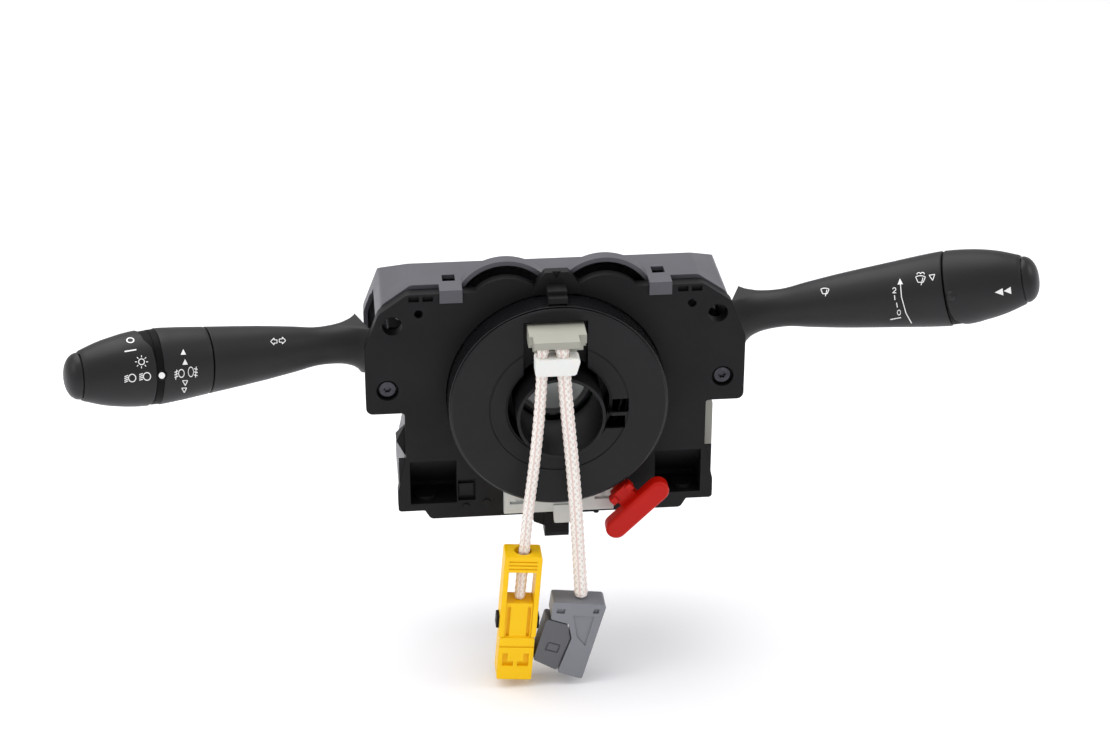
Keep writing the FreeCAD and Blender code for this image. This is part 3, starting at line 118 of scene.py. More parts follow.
@dataclass(frozen=True)
class MouldedPlastic:
    """Injection-moulded plastic with the texture of its tool.

    The grain is drawn several times coarser than a real tool's, so that it shows in the picture.
    """

    name: str
    colour: str
    cloud: str
    roughness: float
    grain: float = 0.5
    depth: float = 0.03
    edge: float = 0.3
    ior: float = 1.5
    coat: float = 0.0
    subsurface: float = 0.0
    shine: float = 0.5

    def material(self) -> bpy.types.Material:
        """Builds the material: flow clouds, spark-eroded grain, and softly broken edges.

        Returns:
            The material.
        """
        material, tree = new_material(self.name)
        place = add_node(tree, "ShaderNodeTexCoord").outputs[Coordinates.OBJECT.value]
        clouds = add_node(tree, "ShaderNodeTexNoise", {"Scale": 1000 / FLOW_CLOUD, "Detail": 3.0},
                          {"Vector": place})
        grain = add_node(tree, "ShaderNodeTexNoise", {"Scale": 1000 / self.grain, "Detail": 2.0},
                         {"Vector": place})
        tone = add_node(tree, "ShaderNodeMix", {6: linear(self.colour), 7: linear(self.cloud)},
                        {0: clouds.outputs["Fac"]}, data_type="RGBA")
        gloss = add_node(tree, "ShaderNodeMapRange",
                         {"From Min": 0.3, "From Max": 0.7, "To Min": self.roughness - 0.05,
                          "To Max": self.roughness + 0.06}, {"Value": clouds.outputs["Fac"]})
        edges = add_node(tree, "ShaderNodeBevel", {"Radius": self.edge * MM}, samples=4)
        bump = add_node(tree, "ShaderNodeBump", {"Strength": 0.6, "Distance": self.depth * MM},
                        {"Height": grain.outputs["Fac"], "Normal": edges.outputs["Normal"]})
        shader = add_node(tree, "ShaderNodeBsdfPrincipled",
                          {"IOR": self.ior, "Specular IOR Level": self.shine,
                           "Coat Weight": self.coat, "Coat Roughness": 0.12,
                           "Subsurface Weight": self.subsurface, "Subsurface Scale": 0.002},
                          {"Base Color": tone.outputs[2], "Roughness": gloss.outputs["Result"],
                           "Normal": bump.outputs["Normal"]})
        add_node(tree, "ShaderNodeOutputMaterial", links={"Surface": shader.outputs["BSDF"]})
        return material


@dataclass(frozen=True)
class PlatedMetal:
    """Metal with a thin plated layer."""

    name: str
    colour: str
    dull: str
    roughness: float

    def material(self) -> bpy.types.Material:
        """Builds the material: bright plating with duller patches and fine draw lines.

        Returns:
            The material.
        """
        material, tree = new_material(self.name)
        place = add_node(tree, "ShaderNodeTexCoord").outputs[Coordinates.OBJECT.value]
        patches = add_node(tree, "ShaderNodeTexNoise", {"Scale": 1000 / PLATING_PATCH, "Detail": 4.0},
                           {"Vector": place})
        tone = add_node(tree, "ShaderNodeMix", {6: linear(self.colour), 7: linear(self.dull)},
                        {0: patches.outputs["Fac"]}, data_type="RGBA")
        gloss = add_node(tree, "ShaderNodeMapRange",
                         {"From Min": 0.3, "From Max": 0.7, "To Min": self.roughness - 0.08,
                          "To Max": self.roughness + 0.1}, {"Value": patches.outputs["Fac"]})
        bump = add_node(tree, "ShaderNodeBump", {"Strength": 0.4, "Distance": 0.01 * MM},
                        {"Height": patches.outputs["Fac"]})
        shader = add_node(tree, "ShaderNodeBsdfPrincipled", {"Metallic": 1.0},
                          {"Base Color": tone.outputs[2], "Roughness": gloss.outputs["Result"],
                           "Normal": bump.outputs["Normal"]})
        add_node(tree, "ShaderNodeOutputMaterial", links={"Surface": shader.outputs["BSDF"]})
        return material


@dataclass(frozen=True)
class BraidedSleeve:
    """Braided textile sleeve with coloured tracer threads."""

    name: str
    colour: str
    # Beige of the painted shade in the gaps between the threads.
    painted_gap_shade: str
    tracer: str
    threads: int = 8
    pitch: float = 6.4
    tracers: int = 6

    def material(self) -> bpy.types.Material:
        """Builds the material: two crossing sets of threads with painted shade between them, and tracers
        along the sleeve.

        Returns:
            The material.
        """
        material, tree = new_material(self.name)
        place = add_node(tree, "ShaderNodeTexCoord").outputs[Coordinates.UV.value]
        parts = add_node(tree, "ShaderNodeSeparateXYZ", links={"Vector": place})
        waves = []
        for side in (1, -1):
            turn = add_node(tree, "ShaderNodeMath", {1: side * self.threads * 2 * math.pi},
                            {0: parts.outputs["X"]}, operation="MULTIPLY")
            run = add_node(tree, "ShaderNodeMath", {1: 8 * math.pi * 1000 / self.pitch / 2},
                           {0: parts.outputs["Y"]}, operation="MULTIPLY")
            phase = add_node(tree, "ShaderNodeMath", links={0: turn.outputs[0], 1: run.outputs[0]},
                             operation="ADD")
            waves.append(add_node(tree, "ShaderNodeMath", links={0: phase.outputs[0]}, operation="SINE"))
        weave = add_node(tree, "ShaderNodeMath", links={0: waves[0].outputs[0], 1: waves[1].outputs[0]},
                         operation="MAXIMUM")
        lit = add_node(tree, "ShaderNodeMapRange", {"From Min": -0.6, "From Max": 0.7},
                       {"Value": weave.outputs[0]})
        # Painted shade: the gaps between the threads take the darker beige, and the thread crests the lit
        # cream.
        cloth = add_node(tree, "ShaderNodeMix", {6: linear(self.painted_gap_shade), 7: linear(self.colour)},
                         {0: lit.outputs["Result"]}, data_type="RGBA")
        streaks = add_node(tree, "ShaderNodeMath", {1: 2 * math.pi * self.tracers}, {0: parts.outputs["X"]},
                           operation="MULTIPLY")
        crest = add_node(tree, "ShaderNodeMath", links={0: streaks.outputs[0]}, operation="SINE")
        line = add_node(tree, "ShaderNodeMapRange", {"From Min": 0.55, "From Max": 1.0, "To Max": 0.8},
                        {"Value": crest.outputs[0]})
        fleck = add_node(tree, "ShaderNodeMath", links={0: line.outputs["Result"], 1: lit.outputs["Result"]},
                         operation="MULTIPLY")
        tone = add_node(tree, "ShaderNodeMix", {7: linear(self.tracer)},
                        {0: fleck.outputs[0], 6: cloth.outputs[2]}, data_type="RGBA")
        bump = add_node(tree, "ShaderNodeBump", {"Strength": 0.8, "Distance": 0.12 * MM},
                        {"Height": weave.outputs[0]})
        shader = add_node(tree, "ShaderNodeBsdfPrincipled", {"Roughness": 0.85, "Sheen Weight": 0.3},
                          {"Base Color": tone.outputs[2], "Normal": bump.outputs["Normal"]})
        add_node(tree, "ShaderNodeOutputMaterial", links={"Surface": shader.outputs["BSDF"]})
        return material


class Finish(Enum):
    """Finishes of the object's pieces."""

    # Glass-filled nylon from a spark-eroded tool: nearly black, dull, with a faint grain.
    HOUSING = MouldedPlastic("glass_filled_nylon_spark_textured", "#111113", "#0e0e10", 0.55, 0.7, 0.06,
                             shine=0.22)
    # Polyester tray: dark grey and satin, so its top turns pale under the light.
    COVER = MouldedPlastic("grey_polyester_satin_moulded", "#4e4e54", "#47474d", 0.42, 0.8, 0.04, 0.4)
    # Acetal from a polished tool: black with a clear gloss on the drum's side.
    DRUM = MouldedPlastic("black_acetal_polished_moulded", "#111113", "#0e0e10", 0.24, 1.5, 0.01, 0.35,
                          shine=0.4)
    # Acetal disc: black, satin, with the broad soft shine of an eroded face.
    DISC = MouldedPlastic("black_acetal_satin_moulded", "#131315", "#101012", 0.42, 0.6, 0.03, 0.4,
                          shine=0.25)
    # Polyamide grips: charcoal, with the fine leather-like grain of a hand piece.
    GRIP = MouldedPlastic("charcoal_polyamide_fine_grained", "#131315", "#101012", 0.46, 0.9, 0.06, 0.2,
                          shine=0.35)
    # Polyamide end buttons: the same charcoal from a smoother tool.
    BUTTON = MouldedPlastic("charcoal_polyamide_smooth", "#161618", "#131315", 0.38, 1.2, 0.02, 0.2,
                            shine=0.35)
    # Acetal collar and index bumps: jet black between the charcoal rings.
    COLLAR = MouldedPlastic("jet_black_acetal_moulded", "#060607", "#040405", 0.5, 1.2, 0.01, 0.2, shine=0.12)
    # Polypropylene tag: saturated red with a soft waxy shine.
    TAG = MouldedPlastic("red_polypropylene_moulded", "#c41204", "#b00e02", 0.36, 1.0, 0.02, 0.6, shine=0.2)
    # Polyester connectors: dense egg yellow, satin.
    YELLOW = MouldedPlastic("yellow_polyester_moulded", "#ffce00", "#f9c300", 0.42, 0.9, 0.02, 0.35,
                            shine=0.25)
    # Polyester connectors: blue grey body and its darker slider.
    GREY = MouldedPlastic("blue_grey_polyester_moulded", "#808288", "#787a80", 0.44, 0.8, 0.03, 0.35)
    SLIDER = MouldedPlastic("dark_grey_polyester_moulded", "#5e5f63", "#57585c", 0.44, 0.8, 0.03, 0.3)
    # Unpigmented polyester: light warm grey, slightly cloudy.
    NATURAL = MouldedPlastic("natural_polyester_moulded", "#a9a89c", "#9c9b90", 0.45, 0.8, 0.02, 0.3)
    # Grey acetal of the column ring: mid grey, the pale acetal darkened by painted shade of the deep bore;
    # slippery shine.
    RING = MouldedPlastic("pale_acetal_painted_bore_shade", "#8f9290", "#858886", 0.36, 1.0, 0.02, 0.3)
    # Light grey acetal of the clip: pale, slippery shine.
    PALE = MouldedPlastic("pale_grey_acetal_moulded", "#d6d9d6", "#c9ccc9", 0.36, 1.0, 0.02, 0.3)
    # White nylon clamp: bright and slightly translucent.
    WHITE = MouldedPlastic("white_nylon_moulded", "#f2f2ee", "#e9e9e4", 0.42, 0.8, 0.02, 0.4, 1.53, 0.0, 0.15)
    # Silicone pads: dull black rubber.
    RUBBER = MouldedPlastic("black_silicone_rubber", "#1d1d1f", "#19191b", 0.72, 0.4, 0.03)
    # Solder mask on glass epoxy: green under a thin clear layer.
    BOARD = MouldedPlastic("green_solder_mask", "#1d5c36", "#185030", 0.3, 1.2, 0.02, 0.1, 1.5, 0.3)
    # Laminated flat cable: smoky dark film over its tracks.
    RIBBON = MouldedPlastic("smoked_laminated_film", "#1a1816", "#151311", 0.3, 1.0, 0.01, 0.05)
    # Black-oxide steel: dark grey with a faint oily shine.
    BLACK_STEEL = PlatedMetal("steel_black_oxide", "#55555a", "#333338", 0.42)
    # Zinc-plated steel: cool bright grey with duller patches.
    STEEL = PlatedMetal("steel_zinc_plated", "#c4c6c8", "#a6a8aa", 0.32)
    # Tin-plated copper alloy: warm, softer shine.
    TIN = PlatedMetal("copper_alloy_tin_plated", "#d3d0c8", "#bab7ae", 0.36)
    # Braided sleeve: cream threads, painted beige shade between them, and pink tracer flecks in lengthwise
    # rows.
    BRAID = BraidedSleeve("braided_polyester_sleeve", "#f8f3ec", "#ded3ca", "#deb0a8")
    # Pad-printed ink: flat white with a slightly soft edge to its shine.
    INK = MouldedPlastic("white_pad_printed_ink", "#f4f4f2", "#e8e8e6", 0.55, 0.3, 0.005, 0.02)


NODE_FINISHES = {
    Finish.HOUSING: ("front_housing", "latch_block", "switch_block_left", "switch_block_right",
                     "airbag_connector_clips", "left_lever_core", "right_lever_core",
                     "rear_socket_left", "rear_socket_right", "left_carrier", "right_carrier"),
    Finish.COVER: ("rear_cover",),
    Finish.DRUM: ("stator_drum",),
    Finish.DISC: ("rotor_disc", "hub_sleeve"),
    Finish.TAG: ("lock_tag",),
    Finish.YELLOW: ("airbag_connector_frame", "airbag_connector_plug"),
    Finish.GREY: ("switch_connector_body",),
    Finish.SLIDER: ("switch_connector_slider",),
    Finish.NATURAL: ("lead_plug", "terminal_cover", "left_plunger", "right_plunger"),
    # The column ring takes the acetal darkened with painted bore shade.
    Finish.RING: ("column_ring",),
    Finish.PALE: ("retaining_clip",),
    Finish.WHITE: ("lead_clamp",),
    Finish.RUBBER: ("left_contact_pad", "right_contact_pad"),
    Finish.BOARD: ("circuit_board",),
    Finish.RIBBON: ("ribbon_coil",),
    Finish.BLACK_STEEL: ("case_screws",),
    Finish.STEEL: ("left_pivot_pin", "right_pivot_pin"),
    Finish.TIN: ("socket_pins",),
}


class Paintbox:
    """Keeps one material for each finish."""

    def __init__(self) -> None:
        """Starts with no material made."""
        self.made: dict[Finish, bpy.types.Material] = {}

    def get(self, finish: Finish) -> bpy.types.Material:
        """Gives the material of a finish, made once.

        Args:
            finish: Which finish.

        Returns:
            Its material.
        """
        if finish not in self.made:
            self.made[finish] = finish.value.material()
        return self.made[finish]

    def dress(self, piece: bpy.types.Object, finish: Finish) -> None:
        """Puts one finish on every slot of a piece.

        Args:
            piece: Mesh object.
            finish: Which finish.
        """
        if not piece.material_slots:
            piece.data.materials.append(self.get(finish))
        for slot in piece.material_slots:
            slot.material = self.get(finish)

    def dress_nodes(self) -> None:
        """Gives every CAD node its finish."""
        for finish, names in NODE_FINISHES.items():
            for name in names:
                self.dress(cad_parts[name], finish)


def finished_piece(name: str, shape: bmesh.types.BMesh, body: str,
                   sharp: float = 35.0) -> bpy.types.Object:
    """Makes a scene object from a shape in frame metres, and lets it ride on its body.

    Args:
        name: Name of the piece.
        shape: Its mesh, freed here.
        body: CAD body that it moves with.
        sharp: Angle in degrees past which an edge stays crisp.

    Returns:
        The object.
    """
    for face in shape.faces:
        face.smooth = True
    for edge in shape.edges:
        edge.smooth = edge.calc_face_angle(0.0) < math.radians(sharp)
    mesh = bpy.data.meshes.new(name)
    shape.to_mesh(mesh)
    shape.free()
    piece = bpy.data.objects.new(name, mesh)
    bpy.context.scene.collection.objects.link(piece)
    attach(piece, body)
    LOG.info("%s: %d faces on %s", name, len(mesh.polygons), body)
    return piece


@dataclass
class Viewpoint:
    """Camera of the view, from its angles, distance and picture scale."""

    azimuth: float = 5.6
    elevation: float = 26.4
    distance: float = 1050.0
    scale: float = 0.43
    target: tuple[float, float, float] = (0.0, -62.0, 0.0)
    target_pixel: tuple[float, float] = (559.3, 408.0)

    def axes(self) -> tuple[Vector, Vector, Vector]:
        """Gives the view's directions.

        Returns:
            Unit vectors to its right, upwards and backwards.
        """
        turn, lift = math.radians(self.azimuth), math.radians(self.elevation)
        right = Vector((math.cos(turn), -math.sin(turn), 0.0))
        up = Vector((math.sin(turn) * math.sin(lift), math.cos(turn) * math.sin(lift), math.cos(lift)))
        return right, up, right.cross(up)

    def eye(self) -> Vector:
        """Gives the camera's place.

        Returns:
            The place in millimetres.
        """
        right, up, back = self.axes()
        across = (self.target_pixel[0] - VIEW_WIDTH / 2) * self.scale
        down = (self.target_pixel[1] - VIEW_HEIGHT / 2) * self.scale
        return Vector(self.target) - right * across + up * down + back * self.distance

    def ray(self, across: float, down: float) -> Vector:
        """Direction of the sight line through a pixel.

        Args:
            across: Pixels from the left edge.
            down: Pixels from the top edge.

        Returns:
            Unit vector away from the camera.
        """
        right, up, back = self.axes()
        focal = self.distance / self.scale
        line = right * ((across - VIEW_WIDTH / 2) / focal) - up * ((down - VIEW_HEIGHT / 2) / focal) - back
        return line.normalized()

    def make_camera(self) -> None:
        """Adds the camera and makes it the scene's own."""
        right, up, back = self.axes()
        data = bpy.data.cameras.new("view_camera")
        data.sensor_width = SENSOR
        data.lens = SENSOR * self.distance / self.scale / VIEW_WIDTH
        data.clip_start = 0.05
        data.clip_end = 20.0
        camera = bpy.data.objects.new("view_camera", data)
        bpy.context.scene.collection.objects.link(camera)
        turn = Matrix((right, up, back)).transposed().to_4x4()
        camera.matrix_world = Matrix.Translation(self.eye() * MM) @ turn
        bpy.context.scene.camera = camera


@dataclass
class Studio:
    """Pale floor, pale surroundings and soft lamps."""

    floor_z: float = -129.0
    floor_half: float = 6.0
    surround: float = 0.75
    lamps: tuple[tuple[str, tuple, tuple, float, float], ...] = (
        ("overhead_softbox", (-200.0, 200.0, 1000.0), (0.0, -20.0, 0.0), 1300.0, 10.0),
        ("left_softbox", (-950.0, -350.0, 550.0), (-60.0, -40.0, 0.0), 600.0, 1.6),
        ("right_softbox", (950.0, -250.0, 600.0), (60.0, -40.0, 0.0), 600.0, 1.6),
    )

    def build(self) -> None:
        """Adds the floor, the surroundings and the lamps."""
        shape = bmesh.new()
        bmesh.ops.create_grid(shape, x_segments=1, y_segments=1, size=self.floor_half,
                              matrix=Matrix.Translation((0.0, 0.0, self.floor_z * MM)))
        mesh = bpy.data.meshes.new("floor")
        shape.to_mesh(mesh)
        shape.free()
        floor = bpy.data.objects.new("floor", mesh)
        bpy.context.scene.collection.objects.link(floor)
        # Seamless paper: a matt white sweep, faintly cool.
        material, tree = new_material("seamless_paper_white")
        shader = add_node(tree, "ShaderNodeBsdfPrincipled",
                          {"Base Color": linear("#fbfbfd"), "Roughness": 0.95, "Specular IOR Level": 0.1})
        add_node(tree, "ShaderNodeOutputMaterial", links={"Surface": shader.outputs["BSDF"]})
        mesh.materials.append(material)
        world = bpy.data.worlds.new("studio_surroundings")
        bpy.context.scene.world = world
        world.use_nodes = True
        background = world.node_tree.nodes["Background"]
        background.inputs["Color"].default_value = linear("#fdfdff")
        background.inputs["Strength"].default_value = self.surround
        bpy.context.scene.view_settings.view_transform = DISPLAY_CURVE
        for name, place, aim, size, power in self.lamps:
            data = bpy.data.lights.new(name, "AREA")
            data.shape = "DISK"
            data.size = size * MM
            data.energy = power
            lamp = bpy.data.objects.new(name, data)
            bpy.context.scene.collection.objects.link(lamp)
            away = Vector(place) - Vector(aim)
            aimed = away.to_track_quat("Z", "Y").to_matrix().to_4x4()
            lamp.matrix_world = Matrix.Translation(Vector(place) * MM) @ aimed


@dataclass
class Grip:
    """Oval grip that both levers share, in the lever's own frame with its axis along X."""

    line: tuple[tuple[float, float], ...] = (
        (19.0, 13.6), (22.5, 11.0), (28.8, 9.1), (39.3, 8.6), (50.3, 10.2), (65.3, 12.2), (89.3, 14.7),
        (103.3, 16.1), (112.3, 16.6), (124.3, 15.8), (134.3, 13.9), (143.8, 10.7))
    oval: float = 0.82
    wall: float = 2.2
    bell_start: float = 18.5
    bell_top: float = 9.2
    bell_end: float = 27.5
    bore: float = 8.8
    core_start: float = 64.0
    fog_seam: float = 88.9
    light_seam: float = 111.3
    cap_seam: float = 143.8
    end: float = 150.1
    seam_gap: float = 0.5
    lip: float = 0.42
    web: float = 5.0
    mouth: float = 6.5
    stem: float = 4.4
    groove: float = 0.5
    fullness: float = 0.86
    turns: int = 96

    def height(self, place: float) -> float:
        """Half height of the grip at a place on its axis.

        Args:
            place: Millimetres from the pivot.

        Returns:
            Half height in millimetres.
        """
        line = self.line
        k = max(0, min(len(line) - 2, sum(t <= place for t, _ in line) - 1))
        slopes = []
        for i in (k, k + 1):
            low, high = line[max(0, i - 1)], line[min(len(line) - 1, i + 1)]
            slopes.append((high[1] - low[1]) / (high[0] - low[0]))
        span = line[k + 1][0] - line[k][0]
        u = (place - line[k][0]) / span
        return ((2 * u ** 3 - 3 * u ** 2 + 1) * line[k][1] + (u ** 3 - 2 * u ** 2 + u) * span * slopes[0]
                + (3 * u ** 2 - 2 * u ** 3) * line[k + 1][1] + (u ** 3 - u ** 2) * span * slopes[1])

    def run(self, start: float, end: float, shrink: float = 0.0,
            step: float = 1.2) -> list[tuple[float, float]]:
        """Profile points of the grip between two places.

        Args:
            start: First place.
            end: Last place.
            shrink: How far inside the grip's surface.
            step: Spacing of the points.

        Returns:
            Places and half heights, in order.
        """
        count = max(2, round(abs(end - start) / step))
        places = [start + (end - start) * k / count for k in range(count + 1)]
        return [(place, self.height(place) - shrink) for place in places]

    def turned(self, profile: list[tuple[float, float]], closed: bool) -> bmesh.types.BMesh:
        """Turns a profile about the axis and flattens it to the grip's oval.

        Args:
            profile: Places and half heights.
            closed: Whether the profile is a loop, and not a line that ends on the axis.

        Returns:
            The shape in the lever's own frame.
        """
        shape = bmesh.new()
        points = [shape.verts.new((place, 0.0, height)) for place, height in profile]
        edges = [shape.edges.new(pair) for pair in zip(points, points[1:])]
        if closed:
            edges.append(shape.edges.new((points[-1], points[0])))
        bmesh.ops.spin(shape, geom=points + edges, cent=(0, 0, 0), axis=(1, 0, 0), angle=2 * math.pi,
                       steps=self.turns, use_merge=True)
        bmesh.ops.remove_doubles(shape, verts=shape.verts, dist=1e-4)
        bmesh.ops.scale(shape, vec=(1.0, self.oval, 1.0), verts=shape.verts)
        return shape

    def rounded_end(self, place: float, inward: float, wall: float) -> list[tuple[float, float]]:
        """Softly broken end of a grip wall, from its outside to its inside.

        Args:
            place: Where the wall ends.
            inward: Direction back along the wall, 1 or -1.
            wall: Thickness there.

        Returns:
            Profile points.
        """
        top = self.height(place)
        return [(place + inward * 0.45, top - 0.02), (place + inward * 0.2, top - 0.1), (place, top - 0.35),
                (place, top - wall)]


@dataclass
class Seam:
    """Stepped seam of a ring: how far its edge stands back round the grip."""

    steps: tuple[tuple[float, float], ...]
    reach: float = 14.0
    core: float = 9.5

    def offset(self, angle: float) -> float:
        """Set-back of the edge at an angle.

        Args:
            angle: Degrees upwards from the driver's side, -180 to 180.

        Returns:
            Millimetres towards the lever's end.
        """
        for (low, first), (high, last) in zip(self.steps, self.steps[1:]):
            if low <= angle <= high:
                share = (angle - low) / (high - low)
                share = share * share * (3 - 2 * share)
                return first + (last - first) * share
        return self.steps[-1][1]

    def apply(self, shape: bmesh.types.BMesh, edge: float) -> None:
        """Moves the edge of a ring and lets the shift fade along the grip.

        Args:
            shape: Ring in the lever's own frame.
            edge: Place of its straight edge.
        """
        for vert in shape.verts:
            share = max(0.0, 1.0 - (vert.co.x - edge) / self.reach)
            if share > 0.0 and vert.co.yz.length > self.core:
                angle = math.degrees(math.atan2(vert.co.z, -vert.co.y))
                vert.co.x += self.offset(angle) * share


class Side(Enum):
    """Which lever."""

    LEFT = -1
    RIGHT = 1


@dataclass
class Lever:
    """One lever: its shell, rings and end button, over the CAD core."""

    side: Side
    pivot: tuple[float, float, float]
    rise: float
    ring_seam: Seam
    grip: Grip = field(default_factory=Grip)
    sweep: float = 20.0
    dome_steps: int = 24

    def place(self, shape: bmesh.types.BMesh) -> bmesh.types.BMesh:
        """Moves a shape from the lever's frame to the frame of the part, in metres.

        Args:
            shape: Shape in the lever's own frame.

        Returns:
            The same shape in its place.
        """
        turn = (Matrix.Rotation(math.radians(-self.sweep), 4, "Z")
                @ Matrix.Rotation(math.radians(-self.rise), 4, "Y"))
        matrix = Matrix.Scale(MM, 4) @ Matrix.Translation(self.pivot) @ turn
        if self.side is Side.LEFT:
            matrix = Matrix.Scale(-1.0, 4, (1, 0, 0)) @ matrix
        bmesh.ops.transform(shape, matrix=matrix, verts=shape.verts)
        bmesh.ops.recalc_face_normals(shape, faces=shape.faces)
        return shape

    def shell(self, seam: float) -> bmesh.types.BMesh:
        """Shell from the bell to the first seam.

        Args:
            seam: Place of the seam.

        Returns:
            The shape in place.
        """
        grip = self.grip
        bell, brim = grip.bell_start, grip.line[0][1]
        mouth = [(bell, grip.bore - 2.4), (bell, brim + 0.5), (bell + 0.15, brim + 0.8),
                 (bell + 0.35, brim + 0.5)]
        outer = grip.run(grip.line[0][0], seam - 0.6, step=1.0)
        inner = grip.run(seam - 0.5, grip.core_start, grip.wall)
        profile = mouth + outer + grip.rounded_end(seam, -1, grip.wall) + inner
        profile.append((grip.core_start, grip.bore - 2.4))
        shape = grip.turned(profile, True)
        for vert in shape.verts:
            if vert.co.x < grip.bell_end:
                vert.co.z = min(vert.co.z, grip.bell_top)
        return self.place(shape)

    def ring(self, start: float, end: float, stepped: bool, lip: float) -> bmesh.types.BMesh:
        """Turning ring between two seams.

        Args:
            start: Place of its inner edge.
            end: Place of its outer edge.
            stepped: Whether its inner edge follows the stepped seam.
            lip: Wall thickness at the outer edge.

        Returns:
            The shape in place.
        """
        grip = self.grip
        web = start + grip.web
        inside = [(end, grip.height(end) - lip)]
        if lip < grip.wall:
            inside += grip.run(end - 0.8, end - grip.mouth, lip + 0.1)
            inside += grip.run(end - grip.mouth, web, grip.wall)
        else:
            inside += grip.run(end - 1.0, web, grip.wall)
        outer = grip.run(start + 0.7, end - 0.7)
        front = list(reversed(grip.rounded_end(start, 1, 2.6)))
        profile = [(start, grip.bore)] + front + outer + grip.rounded_end(end, -1, lip)[:-1] + inside
        profile.append((web, grip.bore))
        shape = grip.turned(profile, True)
        if stepped:
            self.ring_seam.apply(shape, start)
        return self.place(shape)

    def button(self) -> bmesh.types.BMesh:
        """Domed push button in the lever's end, with a fine groove behind its dome.

        Returns:
            The shape in place.
        """
        grip = self.grip
        base = grip.cap_seam - grip.stem
        side = grip.run(base, grip.cap_seam - 0.1, grip.lip + 0.16)
        edge = side[-1][1] - 0.05
        start = grip.cap_seam + grip.groove
        side += [(grip.cap_seam - 0.05, edge - 1.0), (start - 0.05, edge - 1.0), (start, edge - 0.1)]
        turns = [math.pi / 2 * k / self.dome_steps for k in range(1, self.dome_steps)]
        dome = [(start + (grip.end - start) * math.sin(turn), edge * math.cos(turn) ** grip.fullness)
                for turn in turns]
        return self.place(grip.turned([(base, 0.0)] + side + dome + [(grip.end, 0.0)], False))

    def collar(self, start: float, end: float, recess: float, inner: float) -> bmesh.types.BMesh:
        """Black collar beside a ring, set a little below the grip's surface.

        Args:
            start: Place of its inner edge.
            end: Place of its outer edge.
            recess: How far it lies below the grip.
            inner: Half height of its hole.

        Returns:
            The shape in place.
        """
        rim = self.grip.run(start, end, recess, 0.6)
        return self.place(self.grip.turned([(start, inner)] + rim + [(end, inner)], True))

    def index_bump(self, place: float, angle: float, radius: float, height: float) -> bmesh.types.BMesh:
        """Low round bump on the grip that carries an index mark.

        Args:
            place: Where on the axis.
            angle: Degrees upwards from the driver's side.
            radius: Radius of the bump.
            height: How far it stands proud.

        Returns:
            The shape in place.
        """
        grip = self.grip
        shape = bmesh.new()
        bmesh.ops.create_uvsphere(shape, u_segments=32, v_segments=16, radius=1.0)
        turn = math.radians(angle)
        half = grip.height(place)
        centre = Vector((place, -half * grip.oval * math.cos(turn), half * math.sin(turn)))
        out = Vector((0.0, -math.cos(turn) / grip.oval, math.sin(turn))).normalized()
        sink = 0.6
        matrix = (Matrix.Translation(centre - out * height * sink)
                  @ out.to_track_quat("Z", "X").to_matrix().to_4x4()
                  @ Matrix.Diagonal((radius, radius, height * (1 + sink), 1.0)))
        bmesh.ops.transform(shape, matrix=matrix, verts=shape.verts)
        return self.place(shape)


